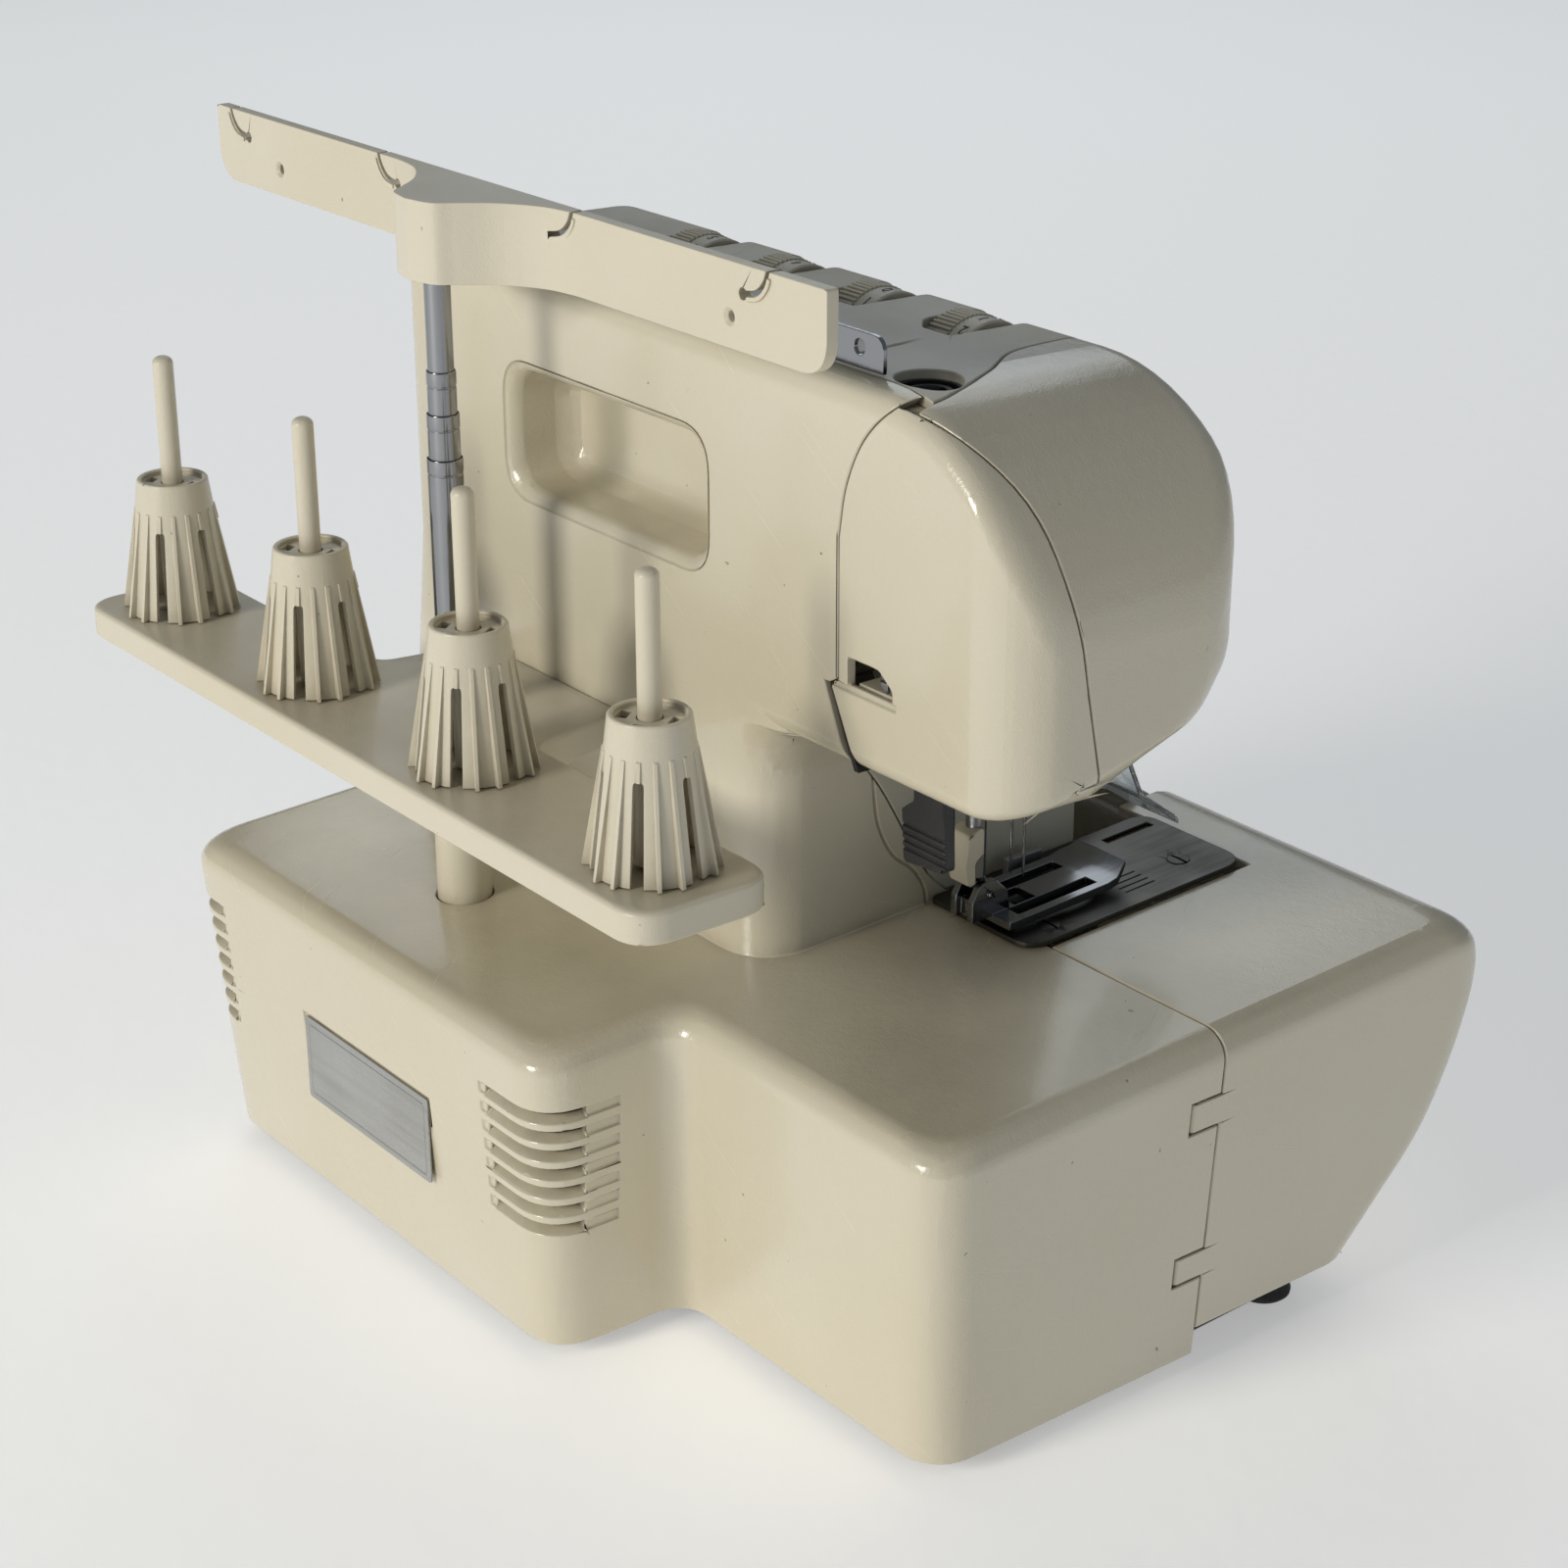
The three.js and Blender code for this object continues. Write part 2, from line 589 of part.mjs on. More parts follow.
// The clear guard in front of the needles, on a tab that reaches up inside the face cover.
function fingerGuard() {
  const section = [[-8.4, 214], [-6.9, 214], [-8.2, 184], [-19, 160], [-38, 146], [-39, 147.2], [-20.4, 161],
    [-9.7, 184.6]];
  return prism('yz', section, -46, -20);
}

add('side_cover', sideCover(), ivory);
add('lower_front_cover', lowerFrontCover(), ivory);
add('looper_cover', looperCover(), ivory);
add('looper_cover_rod', bar('x', 2.6, cover.hingeY, cover.hingeZ, cover.left + 2, cover.right - 2), steel);
add('needle_plate', needlePlate(), darkSteel);
add('presser_foot', presserFoot(), darkSteel);
add('presser_bar', bar('z', BAR_RADIUS, NEEDLE_X, PRESSER_BAR_Y, 132.9, 270), chrome);
add('needle_bar', bar('z', BAR_RADIUS, NEEDLE_X, NEEDLE_BAR_Y, 165.4, 262), chrome);
add('needle_clamp', needleClamp(), steel);
add('presser_lifter', presserLifter(), black);
add('feed_dog', feedDog(), steel);

add('lower_looper', lowerLooperArm(), steel);
add('upper_looper', upperLooperArm(), steel);
add('upper_knife', join(box(4, 6.6, -27, -13, 84, 124), box(4, 12, -27, -13, 84, 92)), steel);
add('lower_knife', join(box(1, 3.4, -27, -13, 92, 112.5), box(-6, 3.4, -25, -15, 92, 98)), steel);
add('finger_guard', fingerGuard(), clearPlastic);
add('thread_cutter', cutterSlot(0.7, 62, 76.4), black);

// ---------------------------------------------------------------- chassis and drive

function basePlate() {
  const edge = BED_DRAFT + WALL + 1;
  return prism('xy', rounded([
    [BED_LEFT + edge + 6, -58, 12], [BED_RIGHT - edge - 1, -58, 12],
    [BED_RIGHT - edge - 1, MOTOR_BACK - edge, 12], [MOTOR_LEFT + edge, MOTOR_BACK - edge, 12],
    [MOTOR_LEFT + edge, BED_BACK - edge, 8], [BED_LEFT + edge, BED_BACK - edge, 12]]), 6, 9.5);
}

function machineFrame() {
  const pillars = [-58, 92, 180].map((x) => box(x, x + 8, 26, 46, 14, 84));
  const body = join(
    box(-60, 190, 20, 54, 9.9, 24), ...pillars,
    box(60, 104, 24, 47, 20, 240), box(-30, 176, 29, 46, 236, 256),
    box(-24, 0, -6.5, 32, 223, 256), box(104, 127, 30, 128, 84, 100), box(96, 127, 30, 44, 84, 110));
  const rail = join(box(-66, -58, -30, 40, 14, 24), box(-66, 22, -62, -52, 14, 24),
    box(-66, -58, -62, -20, 14, 24), box(-60, -40, 8, 40, 52, 64), box(-60, 12, 10, 24, 48, 64));
  const bores = join(
    bar('x', SHAFT_RADIUS + RUNNING_GAP, SHAFT_Y, SHAFT_Z, -80, 230),
    bar('z', BAR_RADIUS + RUNNING_GAP, NEEDLE_X, NEEDLE_BAR_Y, 200, 300),
    bar('z', BAR_RADIUS + RUNNING_GAP, NEEDLE_X, PRESSER_BAR_Y, 200, 300),
    bar('z', POST_RADIUS + GAP, POLE_X, POLE_Y, 86, 200));
  return largest(join(body, rail).subtract(bores));
}

// The outline of a belt round two pulleys: the hull of two circles, each larger by grow.
function beltOutline(grow) {
  const ends = [
    { y: SHAFT_Y, z: SHAFT_Z, radius: DRIVEN_PULLEY_RADIUS + grow },
    { y: MOTOR_Y, z: MOTOR_Z, radius: MOTOR_PULLEY_RADIUS + grow },
  ];
  const length = Math.hypot(ends[1].y - ends[0].y, ends[1].z - ends[0].z);
  const heading = Math.atan2(ends[1].z - ends[0].z, ends[1].y - ends[0].y);
  const wrap = Math.acos((ends[0].radius - ends[1].radius) / length);
  const arc = ({ y, z, radius }, from, to) => Array.from({ length: 13 }, (_, i) => {
    const angle = heading + from + ((to - from) * i) / 12;
    return [y + radius * Math.cos(angle), z + radius * Math.sin(angle)];
  });
  return [...arc(ends[0], wrap, 2 * Math.PI - wrap), ...arc(ends[1], -wrap, wrap)];
}

function handwheel() {
  return lathe([[SHAFT_RADIUS + RUNNING_GAP, 0], [29, 0], [32, 4], [32, 15], [29, 19], [24, 19], [20, 16],
    [12, 16], [9, 19], [SHAFT_RADIUS + RUNNING_GAP, 19], [SHAFT_RADIUS + RUNNING_GAP, 0]], 32);
}

add('base_plate', basePlate(), black);
add('machine_frame', machineFrame(), castAlloy);
add('main_shaft', bar('x', SHAFT_RADIUS, SHAFT_Y, SHAFT_Z, -70, 235), steel);
add('driven_pulley', bar('x', DRIVEN_PULLEY_RADIUS, SHAFT_Y, SHAFT_Z, BELT_X - 5, BELT_X + 5, 32)
  .subtract(bar('x', SHAFT_RADIUS + RUNNING_GAP, SHAFT_Y, SHAFT_Z, 100, 230)), black);
add('motor', bar('x', 25, MOTOR_Y, MOTOR_Z, MOTOR_X, MOTOR_X + 50, 32)
  .add(box(MOTOR_X + 6, MOTOR_X + 44, MOTOR_Y - 16, MOTOR_Y + 16, 12, 40)), darkSteel);
add('motor_pulley', bar('x', MOTOR_PULLEY_RADIUS, MOTOR_Y, MOTOR_Z, BELT_X - 5, BELT_X + 5)
  .add(bar('x', 4, MOTOR_Y, MOTOR_Z, MOTOR_X + 50.5, BELT_X - 4)), steel);
add('drive_belt', prism('yz', beltOutline(2.3), BELT_X - 4, BELT_X + 4)
  .subtract(prism('yz', beltOutline(GAP), BELT_X - 9, BELT_X + 9)), rubber);
add('handwheel', handwheel(), ivoryStand).rotation.y = Math.PI / 2;
machine.children.at(-1).position.set(FRONT_RIGHT + 2.4, SHAFT_Y, SHAFT_Z);

dials.forEach(({ name, y, z, radius }) => {
  add(name, bar('x', radius, y, z, FRONT_RIGHT + 1, FRONT_RIGHT + 9, 32)
    .add(bar('x', 3, y, z, 206, FRONT_RIGHT + 2)), ivoryStand);
});

function powerSwitch() {
  const { y, z, halfWidth, halfHeight } = switchPlace;
  return prism('xz', [[204, z - 4], [212.6, z - halfHeight + 0.6], [216, z - halfHeight + 0.8],
    [213.6, z], [214.8, z + halfHeight - 0.8], [212.6, z + halfHeight - 0.6], [204, z + 4]],
    y - halfWidth + 0.6, y + halfWidth - 0.6).subtract(bar('y', 1.6, 208, z, 0, 200, 12));
}

function inletSocket() {
  const { y, z, halfWidth, halfHeight } = inletPlace;
  return join(
    box(203, 213, y - halfWidth, y + halfWidth, z - halfHeight, z + halfHeight)
      .subtract(box(205, 220, y - halfWidth + 2.5, y + halfWidth - 2.5, z - halfHeight + 2.5,
        z + halfHeight - 2.5)),
    ...[-5, 5].map((offset) => bar('x', 1.6, y + offset, z, 204, 211, 8)));
}

add('power_switch', powerSwitch(), black);
add('inlet_socket', inletSocket(), black);

const footX = [-84, 196];
[[footX[0], -44], [footX[1], -44], [footX[0], 84], [footX[1], 138]].forEach(([x, y], i) => {
  add(`rubber_foot_${i + 1}`, bar('z', 9, x, y, 0, 6 - GAP, 20), rubber);
});

add('label_plate', box(72.6, 145.4, 158, 158.6, 39, 68), labelFoil);

// ---------------------------------------------------------------- spool stand

function standPlate() {
  const rim = rounded([
    [POLE_X - STAND_HALF_LENGTH, PIN_Y - STAND_HALF_DEPTH, 12],
    [POLE_X - 42, PIN_Y - STAND_HALF_DEPTH, 8], [POLE_X - 34, ARM_BACK + GAP + 0.2, 0],
    [POLE_X + 44, ARM_BACK + GAP + 0.2, 0], [POLE_X + 50, PIN_Y - STAND_HALF_DEPTH, 8],
    [POLE_X + STAND_HALF_LENGTH, PIN_Y - STAND_HALF_DEPTH, 12],
    [POLE_X + STAND_HALF_LENGTH, PIN_Y + STAND_HALF_DEPTH, 12],
    [POLE_X - STAND_HALF_LENGTH, PIN_Y + STAND_HALF_DEPTH, 12]]);
  const holes = pinX.map((x) => bar('z', PIN_RADIUS + GAP, x, PIN_Y, PLATE_TOP - 6, 200));
  return prism('xy', rim, PLATE_TOP - PLATE_THICKNESS, PLATE_TOP)
    .subtract(join(...holes, bar('z', 5.8, POLE_X, POLE_Y, 100, 200)));
}

function coneHolder() {
  const height = CONE_TOP - PLATE_TOP - GAP;
  const bore = PIN_RADIUS + GAP;
  const skin = lathe([[bore, 2], [bore + 2, 2], [bore + 2, height - 4], [CONE_TOP_RADIUS - 2, height - 3],
    [CONE_BASE_RADIUS - 1.8, 0], [CONE_BASE_RADIUS, 0], [CONE_TOP_RADIUS, height], [bore, height - 1],
    [bore, 2]]);
  const slots = [0, 1, 2].map((i) => toSolid(new THREE.BoxGeometry(60, 3, height * 0.6)
    .translate(0, 0, height * 0.42).rotateZ((i * Math.PI) / 3)));
  const core = bar('z', bore + 4, 0, 0, -1, height + 5, 12);
  return toGeometry(skin.subtract(join(...slots).subtract(core)));
}

function spoolPin() {
  const bottom = PLATE_TOP - 5.6;
  const length = PIN_TOP - bottom;
  return toGeometry(lathe([[0, 0], [PIN_RADIUS, 0], [PIN_RADIUS, length - 4], [2.6, length - 1.5],
    [1.2, length - 0.2], [0, length]], 20));
}

add('stand_plate', standPlate(), ivoryStand);
add('stand_post', bar('z', POST_RADIUS, POLE_X, POLE_Y, 86.4, PLATE_TOP - PLATE_THICKNESS - GAP)
  .subtract(bar('z', 5.8, POLE_X, POLE_Y, 90, 300)), ivoryStand);
const pin = spoolPin();
const cone = coneHolder();
pinX.forEach((x, i) => {
  add(`spool_pin_${i + 1}`, pin, ivoryStand).position.set(x, PIN_Y, PLATE_TOP - 5.6);
  add(`cone_holder_${i + 1}`, cone, ivoryStand).position.set(x, PIN_Y, PLATE_TOP + GAP);
});

// Telescopic pole, from the lowest and widest section to the one that carries the guide.
const poleSections = [
  { outer: 5.5, inner: 5.1, bottom: 92, top: 251.4 },
  { outer: 4.95, inner: 4.6, bottom: 96, top: 265 },
  { outer: 4.45, inner: 4.1, bottom: 100, top: 277.9 },
  { outer: 3.95, inner: 0, bottom: 104, top: 324 },
];
poleSections.forEach(({ outer, inner, bottom, top }, i) => {
  const tube = bar('z', outer, POLE_X, POLE_Y, bottom, top);
  add(`pole_section_${i + 1}`,
    inner ? tube.subtract(bar('z', inner, POLE_X, POLE_Y, bottom - 5, top + 5)) : tube, chrome);
});

function threadGuide() {
  const back = GUIDE_Y + GUIDE_THICKNESS / 2;
  const end = STAND_HALF_LENGTH - 0.5;
  const bulge = smooth([[46, back + 0.2], [34, back + 2.5], [22, back + 10], [14, POLE_Y + 2],
    [10, POLE_Y + 7], [0, POLE_Y + 9.5]], 12);
  const right = [[end, back], [52, back], ...bulge];
  const left = [...right].reverse().slice(1).map(([x, y]) => [-x, y]);
  const outline = [...right, ...left, [-end, back - GUIDE_THICKNESS], [end, back - GUIDE_THICKNESS]];
  const blank = prism('xy', outline.map(([x, y]) => [POLE_X + x, y]), GUIDE_BOTTOM, GUIDE_TOP);
  const side = prism('xz', rounded([[POLE_X - end, GUIDE_BOTTOM, 11], [POLE_X + end, GUIDE_BOTTOM, 11],
    [POLE_X + end, GUIDE_TOP, 1], [POLE_X - end, GUIDE_TOP, 1]], 6), 0, 200);
  const eyes = pinX.map((x) => bar('y', 1.6, x + 8, GUIDE_BOTTOM + 8, 80, 110, 12));
  const hooks = pinX.map((x) => box(x - 6, x - 4, 80, 101, GUIDE_TOP - 8, GUIDE_TOP + 5));
  return blank.intersect(side).subtract(join(...eyes, ...hooks,
    bar('z', poleSections.at(-1).outer + 0.25, POLE_X, POLE_Y, GUIDE_BOTTOM - 5, 325)));
}

add('thread_guide', threadGuide(), ivoryStand);

// ---------------------------------------------------------------- thread tension and small fittings

const dialBlank = bar('x', DIAL_RADIUS, 0, 0, -DIAL_WIDTH / 2, DIAL_WIDTH / 2, 36)
  .subtract(bar('x', 2.5 + GAP, 0, 0, -30, 30));
const dialGeometry = toGeometry(dialBlank);
dialX.forEach((x, i) => {
  add(`tension_dial_${i + 1}`, dialGeometry, ivoryPanel).position.set(x, DIAL_Y, DIAL_Z);
});
add('tension_shaft', bar('x', 2.5, DIAL_Y, DIAL_Z, dialX[0] - 13, dialX.at(-1) + 14), steel);
add('pressure_regulator', bar('z', 7.5, REGULATOR.x, REGULATOR.y, 282, 295)
  .subtract(box(REGULATOR.x - 6, REGULATOR.x + 6, REGULATOR.y - 1, REGULATOR.y + 1, 293, 300)), black);

function threadGuidePlate() {
  const outline = rounded([[-30, 299.3, 0], [150, 299.3, 0], [150, 309.5, 5], [-30, 309.5, 5]]);
  const holes = dialX.map((x) => bar('y', 2.2, x - 22, 306, 60, 80, 16));
  return prism('xz', outline, 66.6, 68).subtract(join(...holes));
}

add('thread_guide_plate', threadGuidePlate(), chrome);

// ---------------------------------------------------------------- origin

const size = new THREE.Box3().setFromObject(machine);
machine.position.set(-(size.min.x + size.max.x) / 2, -(size.min.y + size.max.y) / 2, -size.min.z);

export default machine;
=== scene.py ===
"""The looks of a four-thread overlock sewing machine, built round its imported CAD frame.

The pieces are drawn in millimetres in the machine's own frame: X runs along the arm from the needle end to
the handwheel end, Y points to the back, where the spool stand is, and z = 0 is the table. TO_FRAME takes that
frame to the row frame, in metres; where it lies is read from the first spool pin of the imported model.
"""

import math

import bmesh
import bpy
from mathutils import Matrix, Vector


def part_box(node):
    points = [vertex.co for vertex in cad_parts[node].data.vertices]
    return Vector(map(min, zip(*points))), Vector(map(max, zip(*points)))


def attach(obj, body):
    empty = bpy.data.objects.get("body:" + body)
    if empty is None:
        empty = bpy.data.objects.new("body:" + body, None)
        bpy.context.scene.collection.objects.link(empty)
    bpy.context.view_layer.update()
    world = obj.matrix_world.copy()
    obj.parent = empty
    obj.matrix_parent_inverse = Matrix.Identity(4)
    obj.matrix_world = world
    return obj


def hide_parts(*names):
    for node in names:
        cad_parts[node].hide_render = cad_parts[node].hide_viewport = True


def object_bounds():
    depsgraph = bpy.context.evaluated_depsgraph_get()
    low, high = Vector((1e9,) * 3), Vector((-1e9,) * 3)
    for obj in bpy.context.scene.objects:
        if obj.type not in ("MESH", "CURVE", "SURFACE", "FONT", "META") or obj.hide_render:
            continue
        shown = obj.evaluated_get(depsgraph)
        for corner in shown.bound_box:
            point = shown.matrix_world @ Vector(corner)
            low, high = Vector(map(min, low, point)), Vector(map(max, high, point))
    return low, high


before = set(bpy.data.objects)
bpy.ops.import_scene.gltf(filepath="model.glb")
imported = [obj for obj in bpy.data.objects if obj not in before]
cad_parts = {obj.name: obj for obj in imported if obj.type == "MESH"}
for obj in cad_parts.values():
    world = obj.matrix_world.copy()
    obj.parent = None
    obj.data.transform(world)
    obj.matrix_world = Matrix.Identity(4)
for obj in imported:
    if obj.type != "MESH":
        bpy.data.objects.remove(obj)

CAD_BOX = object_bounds()

# ---------------------------------------------------------------- driving dimensions, in millimetres

MM = 0.001
WALL = 3.0                    # thickness of the moulded covers
SEAM_GAP = 0.5                # line between two covers
LIP = 0.5                     # rounding of the covers' edges
CELL = 11                     # largest cell that a big face is divided into
THREADS = 4                   # each has a spool pin, a cone holder and a tension dial
BEVEL_FROM = 35               # degrees; edges sharper than this are rounded
SHARP_FROM = 40               # degrees; rounded pieces keep sharper edges in their shading
SHARP_FROM_UNROUNDED = 38
NUMBER_STEP = 30              # degrees between the numbers of a tension dial

PIN_FIRST_X, PIN_PITCH, PIN_Y = -18.2, 88.95, 137.7
BED_LEFT, BED_RIGHT, BED_BACK = -109.5, 216.0, 112.8
MOTOR_LEFT, MOTOR_BACK = 6.8, 161.2
BED_TOP, BED_BOTTOM, BED_DRAFT, BED_TILT, BED_SEAM_Y = 114.6, 6.0, 7.3, 0.045, 5.0
COLUMN_LEFT, COLUMN_FRONT = 12.0, -48.0
ARM_BACK, ARM_FRONT, ARM_TOP, ARM_TOP_FRONT, ARM_UNDERSIDE = 78.0, -12.0, 299.0, 296.5, 189.0
ARM_RIGHT, HEAD_LEFT = 200.0, -96.0
FRONT_LEFT, FRONT_RIGHT = 24.6, 215.4
DIAL_FIRST_X, DIAL_PITCH, DIAL_Y, DIAL_Z = 6.0, 42.7, 5.0, 283.0
SHAFT_Y, SHAFT_Z, SHAFT_RADIUS = 36.0, 70.0, 5.3
NEEDLE_X, NEEDLE_BAR_Y = -12.0, -2.0
REGULATOR_X, REGULATOR_Y = -36.5, 57.5
HINGE_X, HINGE_Y = -107.5, 14.0
HINGE_TABS = ((34.0, 43.0), (86.0, 95.5))
HANDLE = {"left": 39.0, "right": 136.0, "bottom": 231.0, "top": 267.0}
COVER = {"left": 30.5, "right": 149.5, "hinge_y": -83.0, "hinge_z": 27.0, "travel": 4.0}
DIALS_SHOWN = (1, 0, 4, 5)    # the number at the top of each tension dial at rest
SETTING_DIALS = ("stitch_length_dial", "differential_feed_dial")

pin_low, pin_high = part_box("spool_pin_1")
ORIGIN = Vector(((pin_low.x + pin_high.x) / 2 / MM - PIN_FIRST_X,
                 (pin_low.y + pin_high.y) / 2 / MM - PIN_Y, 0))
TO_FRAME = Matrix.Scale(MM, 4) @ Matrix.Translation(ORIGIN)
FRONT_LIMIT = CAD_BOX[0].y / MM - ORIGIN.y    # the frontmost place of the whole model


def span(node):
    """((x0, x1), (y0, y1), (z0, z1)) of a CAD node, in millimetres in the machine's frame."""
    low, high = (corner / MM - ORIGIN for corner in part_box(node))
    return tuple(zip(low, high))


def middle(node):
    return [sum(ends) / 2 for ends in span(node)]


def upright(node):
    """x, y, radius, bottom and top of a round CAD node that stands upright."""
    (x0, x1), (y0, y1), (bottom, top) = span(node)
    return (x0 + x1) / 2, (y0 + y1) / 2, (x1 - x0) / 2, bottom, top


# ---------------------------------------------------------------- solids

PLANES = {
    "xy": lambda u, v, w: (u, v, w),
    "yz": lambda u, v, w: (w, u, v),
    "xz": lambda u, v, w: (u, w, v),
}
ROUND = {"x": "yz", "y": "xz", "z": "xy"}   # the plane that a bar along each axis is drawn in


def solid(vertices, faces):
    """A closed mesh object with its faces pointing out."""
    mesh = bpy.data.meshes.new("solid")
    mesh.from_pydata(vertices, [], faces)
    shell = bmesh.new()
    shell.from_mesh(mesh)
    bmesh.ops.recalc_face_normals(shell, faces=shell.faces)
    shell.to_mesh(mesh)
    shell.free()
    piece = bpy.data.objects.new("solid", mesh)
    bpy.context.scene.collection.objects.link(piece)
    return piece


def loft(plane, levels):
    """A skin through outlines with equally many points; levels holds (place along the normal, outline)."""
    count = len(levels[0][1])
    vertices = [PLANES[plane](u, v, at) for at, outline in levels for u, v in outline]
    faces = [tuple(range(count)), tuple(range(len(vertices) - count, len(vertices)))]
    for first in range(0, len(vertices) - count, count):
        for i in range(count):
            j = (i + 1) % count
            faces.append((first + i, first + j, first + count + j, first + count + i))
    return solid(vertices, faces)


def prism(plane, outline, start, end):
    return loft(plane, [(start, outline), (end, outline)])


def box(x0, x1, y0, y1, z0, z1):
    return prism("xy", [(x0, y0), (x1, y0), (x1, y1), (x0, y1)], z0, z1)


def lathe(profile, centre=(0, 0, 0), axis="z", sides=64):
    """A profile of (radius, height) turned about an axis through centre.

    The profile starts and ends on the axis or closes on itself.
    """
    vertices, rings = [], []
    closed = profile[0] == profile[-1]
    for radius, height in profile[:-1] if closed else profile:
        steps = sides if radius > 0 else 1
        rings.append([len(vertices) + i % steps for i in range(sides)])
        for i in range(steps):
            turn = 2 * math.pi * i / sides
            point = PLANES[ROUND[axis]](radius * math.cos(turn), radius * math.sin(turn), height)
            vertices.append(tuple(Vector(point) + Vector(centre)))
    if closed:
        rings.append(rings[0])
    faces = []
    for low, high in zip(rings, rings[1:]):
        for i in range(sides):
            j = (i + 1) % sides
            face = list(dict.fromkeys((low[i], low[j], high[j], high[i])))
            if len(face) > 2:
                faces.append(face)
    return solid(vertices, faces)


def bar(axis, radius, a, b, start, end, edge=0.3, sides=48):
    """A round bar along an axis, its ends eased by edge; a and b are its other two coordinates in order."""
    centre = PLANES[ROUND[axis]](a, b, 0)
    return lathe([(0, start), (radius - edge, start), (radius, start + edge), (radius, end - edge),
                  (radius - edge, end), (0, end)], centre, axis, sides)


def tube(axis, outer, inner, a, b, start, end, edge=0.15, sides=48):
    centre = PLANES[ROUND[axis]](a, b, 0)
    return lathe([(inner, start), (outer - edge, start), (outer, start + edge), (outer, end - edge),
                  (outer - edge, end), (inner, end), (inner, start)], centre, axis, sides)


def rounded(corners, steps=8):
    """A polygon with corners (u, v, radius); a corner with a radius becomes a curve."""
    points = []
    for i, (u, v, radius) in enumerate(corners):
        corner = Vector((u, v))
        if not radius:
            points.append((u, v))
            continue
        before = (Vector(corners[i - 1][:2]) - corner).normalized()
        after = (Vector(corners[(i + 1) % len(corners)][:2]) - corner).normalized()
        reach = radius / math.tan(before.angle(after) / 2)
        for k in range(steps + 1):
            t = k / steps
            point = corner + before * reach * (1 - t) ** 2 + after * reach * t ** 2
            points.append(tuple(point))
    return points


def smooth(points, steps):
    """Points along a centripetal Catmull-Rom curve through the given ones."""
    knots = [Vector(p) for p in points]
    knots = [2 * knots[0] - knots[1], *knots, 2 * knots[-1] - knots[-2]]
    spans = len(knots) - 3
    curve = []
    for k in range(steps + 1):
        at = min(k * spans / steps, spans - 1e-9)
        i = int(at)
        quad = knots[i:i + 4]
        times = [0.0]
        for a, b in zip(quad, quad[1:]):
            times.append(times[-1] + max((b - a).length, 1e-6) ** 0.5)
        t = times[1] + (at - i) * (times[2] - times[1])
        level = quad
        for pairs in (((0, 1), (1, 2), (2, 3)), ((0, 2), (1, 3)), ((1, 2),)):
            level = [(level[j] * (times[b] - t) + level[j + 1] * (t - times[a])) / (times[b] - times[a])
                     for j, (a, b) in enumerate(pairs)]
        curve.append(tuple(level[0]))
    return curve


def combine(base, others, operation):
    """The boolean of base with each of the others, which are used up."""
    for other in others:
        step = base.modifiers.new("step", "BOOLEAN")
        step.operation = operation
        step.solver = "MANIFOLD"
        step.object = other
    graph = bpy.context.evaluated_depsgraph_get()
    mesh = bpy.data.meshes.new_from_object(base.evaluated_get(graph))
    base.modifiers.clear()
    base.data = mesh
    for other in others:
        bpy.data.objects.remove(other)
    if not mesh.polygons:
        raise ValueError(f"a boolean {operation} left nothing")
    return base


def cut(base, *others):
    return combine(base, others, "DIFFERENCE")


def join(base, *others):
    return combine(base, others, "UNION") if others else base


def common(base, *others):
    return combine(base, others, "INTERSECT")


def largest(piece):
    """Keeps the connected part of a mesh with the most points."""
    shell = bmesh.new()
    shell.from_mesh(piece.data)
    unseen, groups = set(shell.verts), []
    while unseen:
        group, front = set(), [unseen.pop()]
        while front:
            vertex = front.pop()
            group.add(vertex)
            for edge in vertex.link_edges:
                other = edge.other_vert(vertex)
                if other in unseen:
                    unseen.remove(other)
                    front.append(other)
        groups.append(group)
    groups.sort(key=len)
    bmesh.ops.delete(shell, geom=[v for group in groups[:-1] for v in group], context="VERTS")
    shell.to_mesh(piece.data)
    shell.free()
    return piece


def moved(piece, matrix):
    piece.data.transform(matrix)
    return piece


def fuse(pieces):
    """Several meshes that don't overlap, as one object."""
    shell = bmesh.new()
    for piece in pieces:
        shell.from_mesh(piece.data)
    mesh = bpy.data.meshes.new("group")
    shell.to_mesh(mesh)
    shell.free()
    for piece in pieces[1:]:
        bpy.data.objects.remove(piece)
    pieces[0].data = mesh
    return pieces[0]


# ---------------------------------------------------------------- materials

def srgb(red, green, blue):
    """A colour given as 0 to 255 display values, as linear RGBA."""
    levels = (value / 255 for value in (red, green, blue))
    return (*(v / 12.92 if v <= 0.04045 else ((v + 0.055) / 1.055) ** 2.4 for v in levels), 1.0)


